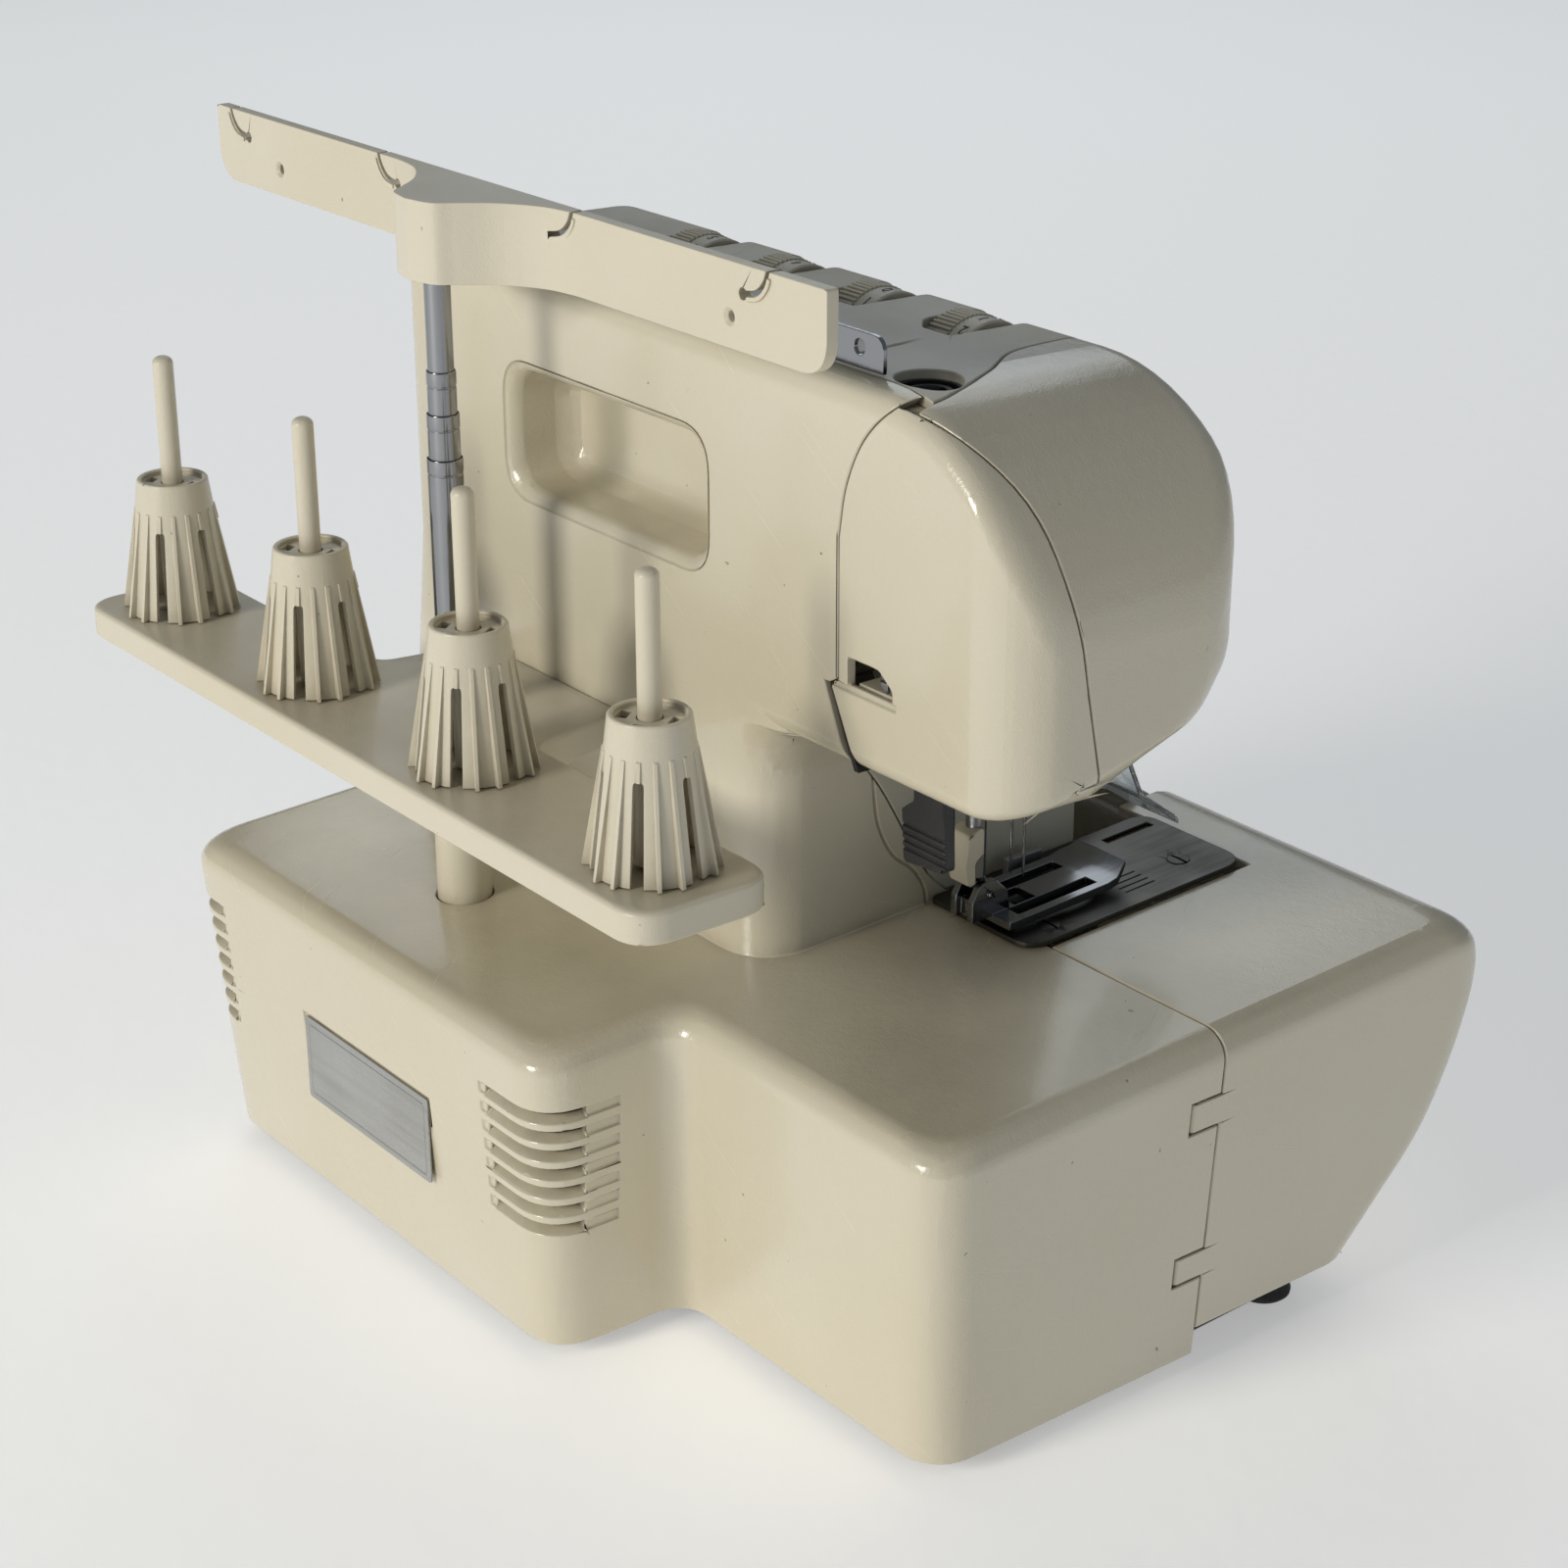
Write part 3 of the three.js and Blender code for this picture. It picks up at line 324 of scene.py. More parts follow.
class Look:
    """A Principled material and short calls for the nodes that feed it."""

    def __init__(self, name, color, roughness, metallic=0.0, **sockets):
        self.material = bpy.data.materials.new(name)
        self.material.use_nodes = True
        self.tree = self.material.node_tree
        self.shader = self.tree.nodes["Principled BSDF"]
        self.color = color
        self.shader.inputs["Base Color"].default_value = color
        self.shader.inputs["Roughness"].default_value = roughness
        self.shader.inputs["Metallic"].default_value = metallic
        for socket, value in sockets.items():
            self.shader.inputs[socket.replace("_", " ")].default_value = value
        self.coordinates = self.add("ShaderNodeTexCoord").outputs["Object"]

    def add(self, kind, **settings):
        node = self.tree.nodes.new(kind)
        for key, value in settings.items():
            setattr(node, key, value)
        return node

    def link(self, source, target):
        self.tree.links.new(source, target)

    def noise(self, scale, detail=3.0, stretch=(1, 1, 1), low=0.35, high=0.65, to=(0.0, 1.0), turn=(0, 0, 0)):
        """Noise in object space, turned, stretched and then spread from low..high to the given range."""
        mapping = self.add("ShaderNodeMapping", vector_type="TEXTURE")
        mapping.inputs["Scale"].default_value = stretch
        mapping.inputs["Rotation"].default_value = turn
        self.link(self.coordinates, mapping.inputs["Vector"])
        texture = self.add("ShaderNodeTexNoise")
        texture.inputs["Scale"].default_value = scale
        texture.inputs["Detail"].default_value = detail
        self.link(mapping.outputs[0], texture.inputs["Vector"])
        return self.spread(texture.outputs["Fac"], low, high, to)

    def spread(self, value, low, high, to=(0.0, 1.0)):
        node = self.add("ShaderNodeMapRange")
        self.link(value, node.inputs["Value"])
        for socket, number in zip(("From Min", "From Max", "To Min", "To Max"), (low, high, *to)):
            node.inputs[socket].default_value = number
        return node.outputs["Result"]

    def math(self, operation, a, b):
        node = self.add("ShaderNodeMath", operation=operation)
        self.link(a, node.inputs[0])
        self.link(b, node.inputs[1])
        return node.outputs[0]

    def times(self, a, b):
        return self.math("MULTIPLY", a, b)

    def plus(self, a, b):
        return self.math("ADD", a, b)

    def tint(self, factor, color):
        """Mixes a further colour into the base colour where factor is high."""
        mix = self.add("ShaderNodeMix", data_type="RGBA")
        target = self.shader.inputs["Base Color"]
        if target.links:
            self.link(target.links[0].from_socket, mix.inputs[6])
        else:
            mix.inputs[6].default_value = self.color
        mix.inputs[7].default_value = color
        self.link(factor, mix.inputs[0])
        self.link(mix.outputs[2], target)

    def corners(self, distance, inside):
        """High in hollows, or with inside set, on outer edges."""
        node = self.add("ShaderNodeAmbientOcclusion", inside=inside, samples=4)
        node.inputs["Distance"].default_value = distance
        return self.spread(node.outputs["AO"], 0.35, 0.9, (1.0, 0.0))

    def upward(self):
        """High on faces that look up, where dust settles."""
        separate = self.add("ShaderNodeSeparateXYZ")
        self.link(self.add("ShaderNodeNewGeometry").outputs["Normal"], separate.inputs[0])
        return self.spread(separate.outputs["Z"], 0.75, 1.0)

    def rough(self, value):
        self.link(value, self.shader.inputs["Roughness"])

    def bump(self, height, distance, strength=1.0):
        node = self.add("ShaderNodeBump")
        node.inputs["Strength"].default_value = strength
        node.inputs["Distance"].default_value = distance
        self.link(height, node.inputs["Height"])
        target = self.shader.inputs["Normal"]
        if target.links:
            self.link(target.links[0].from_socket, node.inputs["Normal"])
        self.link(node.outputs[0], target)


def moulded(name, color, aged, roughness, coat, grain):
    """Moulded plastic with uneven yellowing, grime and painted shade in hollows, dust, rubbed edges, hairline
    scratches and grain.
    """
    look = Look(name, color, roughness, Coat_Weight=coat, Coat_Roughness=0.12, Specular_IOR_Level=0.5)
    look.tint(look.noise(9, 3, low=0.2, high=0.8, to=(0.0, 0.7)), aged)
    # painted shade: the hollows that ambient occlusion finds are darkened brown, as grime and as shade
    hollow_shade_and_grime = look.times(look.corners(0.006, False), look.noise(60, to=(0.15, 0.6)))
    look.tint(hollow_shade_and_grime, srgb(120, 104, 78))
    dust = look.times(look.upward(), look.noise(16, 4, low=0.25, high=0.8, to=(0.05, 0.5)))
    look.tint(dust, srgb(134, 122, 96))
    rubbed = look.times(look.corners(0.0008, True), look.noise(45, 5, low=0.5, high=0.7, to=(0.0, 0.4)))
    look.tint(rubbed, srgb(236, 230, 214))
    look.tint(look.noise(240, 2, low=0.765, high=0.79, to=(0.0, 0.6)), srgb(95, 84, 66))
    scratches = look.noise(700, 2, (1, 40, 40), 0.70, 0.74, turn=(0.6, 0.9, 0.5))
    worn = look.noise(18, 3, low=0.2, high=0.8, to=(roughness * 0.7, roughness * 1.3))
    look.rough(look.plus(worn, look.times(scratches, look.noise(8, to=(0.0, 0.25)))))
    look.bump(look.noise(260, 2), 0.00003)
    look.bump(look.noise(grain, 1), 0.000025)
    look.bump(scratches, 0.00001, -0.5)
    return look.material


def metal(name, color, roughness, stretch, scratch_scale, smudge):
    """Bare or plated metal with fine lines along its working direction, smudges and painted shade in its
    hollows.
    """
    look = Look(name, color, roughness, 1.0)
    lines = look.noise(scratch_scale, 3, stretch)
    # painted shade: the hollows that ambient occlusion finds are darkened
    look.tint(look.times(look.corners(0.003, False), look.noise(90, to=(0.2, 0.7))), srgb(52, 46, 40))
    look.tint(look.noise(40, 5, low=0.55, high=0.8, to=(0.0, 0.25)), srgb(126, 118, 108))
    look.rough(look.plus(look.noise(35, 5, to=(roughness, roughness + smudge)),
                         look.times(lines, look.noise(14, to=(0.0, smudge)))))
    look.bump(lines, 0.000012)
    return look.material


def dark(name, color, roughness, grain, depth):
    """Black plastic, paint or rubber: greyed by rubbing on its edges and dusty on top."""
    look = Look(name, color, roughness)
    look.tint(look.noise(30, 5, to=(0.0, 0.35)), tuple(c * 1.9 for c in color[:3]) + (1.0,))
    look.tint(look.times(look.corners(0.0007, True), look.noise(60, to=(0.1, 0.5))), srgb(96, 95, 92))
    dust = look.times(look.upward(), look.noise(50, 5, low=0.5, high=0.75, to=(0.0, 0.25)))
    look.tint(dust, srgb(120, 114, 102))
    look.rough(look.noise(45, 4, to=(roughness * 0.8, min(1.0, roughness * 1.25))))
    look.bump(look.noise(grain, 2), depth)
    return look.material


def clear():
    """Clear plastic with rubbed patches and fine scratches."""
    look = Look("clear_plastic", srgb(214, 221, 224), 0.05, Transmission_Weight=0.92, IOR=1.49)
    look.rough(look.noise(60, 5, low=0.45, high=0.75, to=(0.04, 0.28)))
    look.bump(look.noise(700, 2, (1, 30, 30), 0.6, 0.7, turn=(0.6, 0.9, 0.5)), 0.00002)
    return look.material


def foil():
    """A blank brushed foil plate."""
    look = Look("label_foil", srgb(176, 177, 176), 0.38, 0.55)
    brushed = look.noise(300, 2, (33, 1, 1))
    look.tint(look.noise(25, 4, to=(0.0, 0.4)), srgb(150, 150, 146))
    look.rough(look.times(brushed, look.noise(20, to=(0.45, 0.8))))
    look.bump(brushed, 0.00001)
    return look.material


IVORY = srgb(219, 213, 194)
LOOKS = {
    "ivory_cover": moulded("ivory_cover", IVORY, srgb(210, 198, 168), 0.22, 0.5, 1500),
    "ivory_panel": moulded("ivory_panel", srgb(205, 202, 188), srgb(198, 190, 168), 0.42, 0.0, 2600),
    "ivory_stand": moulded("ivory_stand", srgb(222, 216, 198), srgb(214, 203, 176), 0.36, 0.1, 1900),
    "black_plastic": dark("black_plastic", srgb(26, 26, 28), 0.4, 1400, 0.00004),
    "rubber": dark("rubber", srgb(34, 34, 35), 0.8, 900, 0.0001),
    "painted_steel": dark("painted_steel", srgb(40, 40, 42), 0.5, 700, 0.00005),
    "ink": dark("dial_ink", srgb(38, 38, 40), 0.55, 900, 0.00002),
    "chrome": metal("chrome", srgb(150, 152, 156), 0.07, (1, 1, 25), 500, 0.12),
    "steel": metal("steel", srgb(176, 178, 180), 0.24, (20, 1, 1), 420, 0.18),
    "dark_steel": metal("dark_steel", srgb(88, 87, 82), 0.36, (1, 20, 1), 420, 0.12),
    "foot_steel": metal("foot_steel", srgb(142, 144, 147), 0.12, (1, 20, 1), 420, 0.12),
    "cast_alloy": metal("cast_alloy", srgb(168, 170, 170), 0.5, (1, 1, 1), 260, 0.2),
    "clear_plastic": clear(),
    "label": foil(),
}


# ---------------------------------------------------------------- placing pieces

def tidy(mesh, cell):
    """Merges doubled points and flat neighbouring faces, then divides large faces into cells."""
    shell = bmesh.new()
    shell.from_mesh(mesh)
    bmesh.ops.remove_doubles(shell, verts=shell.verts, dist=2e-6)
    bmesh.ops.dissolve_degenerate(shell, edges=shell.edges, dist=2e-6)
    bmesh.ops.dissolve_limit(shell, angle_limit=math.radians(0.05), verts=shell.verts, edges=shell.edges)
    if cell:
        step = cell * MM
        for axis in range(3):
            places = [vertex.co[axis] for vertex in shell.verts]
            normal = Vector([float(i == axis) for i in range(3)])
            for k in range(math.ceil(min(places) / step), math.floor(max(places) / step) + 1):
                everything = shell.verts[:] + shell.edges[:] + shell.faces[:]
                bmesh.ops.bisect_plane(shell, geom=everything, dist=1e-6,
                                       plane_co=normal * (k + 0.37) * step, plane_no=normal)
        bmesh.ops.dissolve_degenerate(shell, edges=shell.edges, dist=0.12 * MM)
    many = [face for face in shell.faces if len(face.verts) > 4]
    bmesh.ops.triangulate(shell, faces=many)
    shell.to_mesh(mesh)
    shell.free()


def soften(piece, edge):
    """Rounds the edges of a piece and keeps its flat faces flat."""
    piece.data.polygons.foreach_set("use_smooth", [True] * len(piece.data.polygons))
    if edge:
        bevel = piece.modifiers.new("edges", "BEVEL")
        bevel.width = edge * MM
        bevel.segments = 2
        bevel.limit_method = "ANGLE"
        bevel.angle_limit = math.radians(BEVEL_FROM)
        bevel.use_clamp_overlap = False
    normals = piece.modifiers.new("normals", "WEIGHTED_NORMAL")
    normals.keep_sharp = True


def place(piece, name, body, slot, replaces=(), edge=0.0, look=None, cell=0):
    """Puts a finished solid in the row frame, under its CAD body."""
    piece.name = name
    piece.data.name = name
    piece.data.transform(TO_FRAME)
    tidy(piece.data, cell)
    piece.data.materials.clear()
    piece.data.materials.append(LOOKS[look or slot])
    piece.data.set_sharp_from_angle(angle=math.radians(SHARP_FROM if edge else SHARP_FROM_UNROUNDED))
    soften(piece, edge)
    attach(piece, body)
    if replaces:
        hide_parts(*replaces)


def place_cover(cover, node, body="casing", slot="ivory_cover", edge=LIP):
    place(largest(cover), f"{node}_shell", body, slot, [node], edge, cell=CELL)


# ---------------------------------------------------------------- casing volumes

def tilted(piece):
    """The bed's top falls towards the back."""
    for vertex in piece.data.vertices:
        vertex.co.z *= 1 - BED_TILT * (vertex.co.y - BED_SEAM_Y) / BED_TOP
    return piece


def arc_levels(radius, steps=9):
    """(rise, inset) pairs up a quarter round of the given radius."""
    angles = [math.pi / 2 * i / steps for i in range(steps + 1)]
    return [(radius * math.sin(a), radius * (1 - math.cos(a))) for a in angles]


def draft(z):
    return BED_DRAFT * (1 - z / BED_TOP)


def bed_outline(inset):
    return rounded([
        (BED_LEFT + inset, BED_SEAM_Y, 0), (BED_RIGHT - inset, BED_SEAM_Y, 0),
        (BED_RIGHT - inset, MOTOR_BACK - inset, 16), (MOTOR_LEFT + inset, MOTOR_BACK - inset, 16),
        (MOTOR_LEFT + inset, BED_BACK - inset, 12), (BED_LEFT + inset, BED_BACK - inset, 16)], 10)


def bed_volume(inset):
    top = BED_TOP - inset
    bottom = -2.0 if inset else BED_BOTTOM
    radius = 9 - inset / 2
    levels = [(bottom, draft(bottom) + inset)]
    for rise, pinch in arc_levels(radius):
        levels.append((top - radius + rise, draft(top - radius + rise) + pinch + inset))
    return tilted(loft("xy", [(z, bed_outline(d)) for z, d in levels]))


def column_volume(inset):
    levels = []
    for z in (80 if inset else 100, 120, 142, 160, 180, 215, 241 if inset else 244):
        right = BED_RIGHT - 2 - 14 * max(0, (z - 110) / 100) - inset
        front = COLUMN_FRONT + inset + max(0, (z - 142) * 0.35)
        levels.append((z, rounded([
            (COLUMN_LEFT + inset, front, 0), (right, front, 10), (right, ARM_BACK - inset, 16),
            (COLUMN_LEFT + inset, ARM_BACK - inset, 20)], 10)))
    return loft("xy", levels)


def arm_volume(inset):
    left, right, corner, end = HEAD_LEFT + inset, ARM_RIGHT - inset, 20, 12
    dome_x, dome_reach = -35, 62                 # where the head's top begins to fall, and over what length
    stations = sorted(left + corner - corner * math.cos(math.pi / 2 * i / 10) for i in range(11))
    stations += [-72, -66, -60, -54, -48, -42, -35, 0, 90]
    stations += sorted(right - end + end * math.sin(math.pi / 2 * i / 8) for i in range(9))
    levels = []
    for x in stations:
        near_left, near_right = max(0, corner - (x - left)), max(0, end - (right - x))
        pinch = corner - math.sqrt(max(0, corner ** 2 - near_left ** 2)) + inset
        pinch += end - math.sqrt(max(0, end ** 2 - near_right ** 2))
        crown = min(0, (x - dome_x) / dome_reach)
        drop = dome_reach * (1 - math.sqrt(max(0.02, 1 - crown ** 2)))
        top_drop = inset + drop + (pinch - inset) * 0.5
        front, back = ARM_FRONT + pinch, ARM_BACK - pinch
        levels.append((x, rounded([
            (back, ARM_UNDERSIDE + pinch * 0.5, 7), (back, ARM_TOP - top_drop, 9),
            (front, ARM_TOP_FRONT - top_drop, 9), (front, 222, 18), (front + 10, 207 + inset, 18),
            (min(front + 50, back - 6), ARM_UNDERSIDE + pinch * 0.5, 6)], 10)))
    return loft("yz", levels)


def inner_corner(radius):
    """The hollow blend under the arm, where its underside runs into the column."""
    levels = []
    for angle in (math.pi / 2 * i / 12 for i in range(13)):
        left = COLUMN_LEFT - radius * (1 - math.cos(angle))
        levels.append((ARM_UNDERSIDE - radius + radius * math.sin(angle), rounded([
            (left, 38, 0), (60, 38, 0), (60, ARM_BACK - 0.2, 0), (left, ARM_BACK - 0.2, 20)], 10)))
    levels.append((ARM_UNDERSIDE + 7, levels[-1][1]))
    return loft("xy", levels)


def outer_volume():
    return join(bed_volume(0), column_volume(0), arm_volume(0), inner_corner(19))


def inner_volume():
    return join(bed_volume(WALL), column_volume(WALL), arm_volume(WALL))


# ---------------------------------------------------------------- seams between the covers

FAR = 400


def behind_seam(shift):
    """Everything behind the line between the rear housing and the front covers."""
    edge = smooth([(5, 116), (13, 124), (34, 160), (58, 190), (68.5, 222)], 24)
    outline = [(BED_SEAM_Y, -10), *edge, (68.5, FAR)]
    return prism("yz", [(y + shift, z) for y, z in outline] + [(300, FAR), (300, -10)], -200, 300)


def left_of_arm_seam(shift):
    """Everything towards the needle end of the line between the arm and the head's rear cover."""
    edge = smooth([(-24, 255), (-27, 270), (-34, 284), (-46, 296), (-54, 303)], 20)
    outline = [(-32, 100), (-32, 189), (-20.5, 212), (-24, 214), *edge]
    return prism("xz", [(-300, 100), *((x + shift, z) for x, z in outline), (-300, 320)], -200, 300)


def behind_face_seam(shift):
    """Everything behind the line between the head's rear cover and the face cover."""
    edge = smooth([(44, 170), (45, 190), (51, 222), (57, 252), (63, 276), (74, 294), (84, 304)], 30)
    return prism("yz", [*((y + shift, z) for y, z in edge), (300, 304), (300, 170)], -200, 300)


def left_of_top_seam(shift):
    """Everything towards the needle end of the S-shaped line across the top of the arm."""
    edge = smooth([(-53, 84), (-50, 64), (-39, 38), (-28, 21), (-25, 4), (-25, -20)], 30)
    return prism("xy", [(-300, 84), (-300, -20), *((x + shift, y) for x, y in reversed(edge))], 100, 320)


def cutter_slot(inset, front, back):
    return prism("xz", [(-32 + inset, 187 + inset), (-28.6 - inset, 187 + inset),
                        (-17.6 - inset, 212 - inset), (-20.6 + inset, 212 - inset)], front, back)


def head_region():
    return box(-200, 60, -100, 200, 180, 320)


def head_opening():
    """The open underside of the head, with a bay at its front for the needle bar."""
    main = prism("yz", [(1, 180), (72, 180), (72, 196), (38, 196), (8, 214), (1, 214)], -84, 8)
    return join(main, box(-21, -3, -7, 4, 180, 218))


def arm_shell():
    return cut(arm_volume(0), arm_volume(WALL))


# ---------------------------------------------------------------- covers

def stadium(u0, u1, v0, v1, radius, steps=6):
    return rounded([(u0, v0, radius), (u1, v0, radius), (u1, v1, radius), (u0, v1, radius)], steps)


def handle_scoop(grow):
    """The pocket for the carrying hand, flaring at its mouth and rounded at its floor."""
    levels = []
    for depth, flare in ((-6, 5.5), (0.2, 4.0), (1.2, 2.2), (2.8, 1.0), (5, 0.3),
                         (9, 0), (16, -0.8), (20, -2.2), (22.6, -4.6), (24, -9)):
        size = flare + grow
        levels.append((ARM_BACK - depth - (grow if depth > 0 else 0), stadium(
            HANDLE["left"] - size, HANDLE["right"] + size, HANDLE["bottom"] - size, HANDLE["top"] + size,
            11 + size * 0.5, 8)))
    return loft("xz", levels)


def vents():
    """Slots round the motor housing's back corners, each over a sloping shelf, with a line leading to it."""
    cutters = []
    for i in range(7):
        z = 45.8 + 6.5 * i
        d = draft(z + 1.5)
        for x0, x1 in ((MOTOR_LEFT - 2, 38.5), (195.5, BED_RIGHT + 2)):
            core = loft("xy", [(z + rise, bed_outline(draft(z) + depth)) for rise, depth in (
                (-0.2, -0.3), (2.1, WALL), (2.2, WALL + 1), (4, WALL + 1))])
            cutters.append(cut(box(x0, x1, 143.5, 165, z, z + 3.8), core))
        cutters.append(box(MOTOR_LEFT - 2, MOTOR_LEFT + d + 0.4, 132, 144, z + 0.4, z + 3.6))
        for x in (38, 193):
            cutters.append(box(x, x + 3, MOTOR_BACK - d - 0.4, 165, z + 0.4, z + 3.6))
    return cutters


def hinge_x(z):
    return HINGE_X + (BED_TOP - z) * BED_DRAFT / BED_TOP


def hinge_slot(tab, grow):
    bottom, top = tab
    levels = []
    for z in (bottom - 0.6 - grow, top + 0.6 + grow):
        x = hinge_x(z)
        levels.append((z, [(x - 8, BED_SEAM_Y - 1), (x + 2.6 + grow, BED_SEAM_Y - 1),
                           (x + 2.6 + grow, HINGE_Y + 2.6 + grow), (x - 8, HINGE_Y + 2.6 + grow)]))
    return loft("xy", levels)


def headings(points):
    """The direction of a line of points at each of them."""
    last = len(points) - 1
    return [(Vector(points[min(last, i + 1)]) - Vector(points[max(0, i - 1)])).normalized()
            for i in range(last + 1)]


def groove(plane, points, width, start, end):
    """A narrow cutter that follows a line of points."""
    left, right = [], []
    for (u, v), heading in zip(points, headings(points)):
        along = heading * width / 2
        left.append((u - along.y, v + along.x))
        right.append((u + along.y, v - along.x))
    return prism(plane, left + right[::-1], start, end)


def throat_groove():
    """The outline of the panel on the column's side, beside the needle plate."""
    line = smooth([(13.5, 114), (14.5, 120), (19, 127), (27, 134), (33, 146), (35, 160),
                   (36.5, 176), (37, 200)], 30)
    return groove("yz", line, 0.7, COLUMN_LEFT - 1, COLUMN_LEFT + 0.8)


def rear_housing():
    switch, inlet = span("power_switch"), span("inlet_socket")
    label = span("label_plate")
    housing = common(cut(outer_volume(), inner_volume()), behind_seam(0))
    slots = [common(hinge_slot(tab, 2), bed_volume(0)) for tab in HINGE_TABS]
    back_box = common(handle_scoop(WALL), box(0, 180, 40, ARM_BACK - 1, 200, 296))
    housing = join(housing, back_box, *slots)
    housing = cut(
        housing, handle_scoop(0), *(hinge_slot(tab, 0) for tab in HINGE_TABS),
        bar("z", 9.0, *middle("stand_post")[:2], 90, 125),
        bar("x", SHAFT_RADIUS + 2, SHAFT_Y, SHAFT_Z, 200, 230),
        box(200, 220, switch[1][0] - 1, switch[1][1] + 1, 53.6, 74.4),
        box(200, 220, inlet[1][0] - 0.4, inlet[1][1] + 0.4, inlet[2][0] - 0.4, inlet[2][1] + 0.4),
        box(label[0][0] - 1, label[0][1] + 1, label[1][0] - 0.3, 170, label[2][0] - 1, label[2][1] + 1),
        head_opening(), cutter_slot(0, 60, 90), common(left_of_arm_seam(SEAM_GAP), head_region()),
        throat_groove(), *vents())
    place_cover(housing, "rear_housing")


def dial_x(i):
    return DIAL_FIRST_X + DIAL_PITCH * i


def front_panel():
    upper = cut(join(arm_volume(0), column_volume(0)), join(arm_volume(WALL), column_volume(WALL)))
    cutters = [behind_seam(-SEAM_GAP), common(left_of_top_seam(SEAM_GAP), head_region()),
               box(-200, 300, -100, 200, 90, 117), head_opening(),
               bar("z", 9.5, REGULATOR_X, REGULATOR_Y, 280, 310)]
    for i in range(THREADS):
        x = dial_x(i)
        cutters.append(prism("xy", rounded([(x - 10, -20, 1), (x + 10, -20, 1), (x + 10, 15, 9),
                                            (x + 2, 22, 2), (x - 10, 22, 1)]), 269, 305))
        cutters.append(groove("xy", [(x - 13, 66), (x - 12.2, 60), (x - 7, 20)], 1.3, 297.6, 305))
    place_cover(cut(upper, *cutters), "front_panel", slot="ivory_panel", edge=0.4)


def head_rear_cover():
    window = prism("xz", rounded([(-28, 213, 0), (-28, 221.5, 0), (-41, 221.5, 3), (-47, 217, 2),
                                  (-47, 213, 0)], 4), 70, 90)
    lip = box(-48.5, -20, ARM_BACK - 1, 90, 211.4, 213.4)
    cover = common(arm_shell(), behind_face_seam(0), left_of_arm_seam(0))
    place_cover(cut(cover, head_opening(), window, lip), "head_rear_cover")
    shelf = box(-46, -29, 66, 74.6, 209.5, 213.5)
    place(shelf, "head_screw_shelf", "casing", "ivory_cover", edge=0.3)
    screw = cut(lathe([(0, 74), (3.6, 74), (4.4, 73.2), (4.4, 71.5), (2.2, 71), (2.2, 62), (0, 62)],
                      (-41, 0, 217), "y"),
                box(-45.5, -36.5, 73, 76, 216.4, 217.6), box(-41.6, -40.4, 73, 76, 212.5, 221.5))
    place(screw, "head_cover_screw", "casing", "steel", edge=0.15)


def seam_flange():
    """The ledge behind the lines where the head's covers meet."""
    ledge = common(cut(arm_volume(WALL + 0.1), arm_volume(WALL + 1.4)), box(-70, -18, 40, 80, 224, 300))
    ledge = cut(ledge, bar("z", 9.6, REGULATOR_X, REGULATOR_Y, 280, 310))
    place(largest(ledge), "head_seam_flange", "casing", "ivory_cover")


def face_cover():
    cover = cut(common(arm_shell(), left_of_top_seam(0)), behind_face_seam(-SEAM_GAP), head_opening())
    place_cover(cover, "face_cover")


def side_cover_volume(inset):
    corner = 9
    front = smooth([(-64, 15), (-78, 30), (-94, 48), (-103, 66), (-108.5, 84), (-110, 96),
                    (-108, 106), (-103, 112), (-96, BED_TOP)], 34)
    levels = []
    for i, (y, z) in enumerate(front):
        rise = max(0, z - (BED_TOP - corner))
        y = max(y, FRONT_LIMIT)
        left = BED_LEFT + draft(z) + corner - math.sqrt(max(0, corner ** 2 - rise * rise)) + inset
        back = BED_SEAM_Y - SEAM_GAP + inset
        at = z - inset if i or not inset else z - 20
        levels.append((at, rounded([(left, y + inset, 14 - inset), (24 + inset, y + inset, 0),
                                    (24 + inset, back, 0), (left, back, 0)], 12)))
    return tilted(loft("xy", levels))


def hinge_tab(tab):
    levels = []
    for z in tab:
        x = hinge_x(z)
        levels.append((z, rounded([(x - 2, -2, 0), (x + 1.6, -2, 0), (x + 2, HINGE_Y + 2, 1.8),
                                   (x - 2, HINGE_Y + 2, 1.8)])))
    return loft("xy", levels)


def side_cover():
    plate = span("needle_plate")
    notch = box(plate[0][0] - 0.6, 40, plate[1][0] - 1, 20, 60, 130)
    cover = cut(side_cover_volume(0), side_cover_volume(WALL), notch)
    cover = join(cover, *(hinge_tab(tab) for tab in HINGE_TABS))
    place_cover(cover, "side_cover", "side_cover")
    for i, (bottom, top) in enumerate(HINGE_TABS):
        pin = bar("z", 0.9, hinge_x((bottom + top) / 2), HINGE_Y, bottom - 0.5, top + 0.5, 0.1, 20)
        place(pin, f"side_cover_hinge_pin_{i + 1}", "side_cover", "steel")


FRONT_PROFILE = smooth([(-74, 9.5), (-86, 21), (-96, 41), (-104.5, 66), (-108.5, 88), (-105, 106), (-93, 119),
                        (-72, 129), (-49, 139)], 60)


def ribbon(points, thickness):
    """A strip of even thickness along a curve."""
    inner = []
    for (u, v), heading in zip(points, headings(points)):
        along = heading * thickness
        inner.append((u + along.y, v - along.x))
    return [*points, *reversed(inner)]


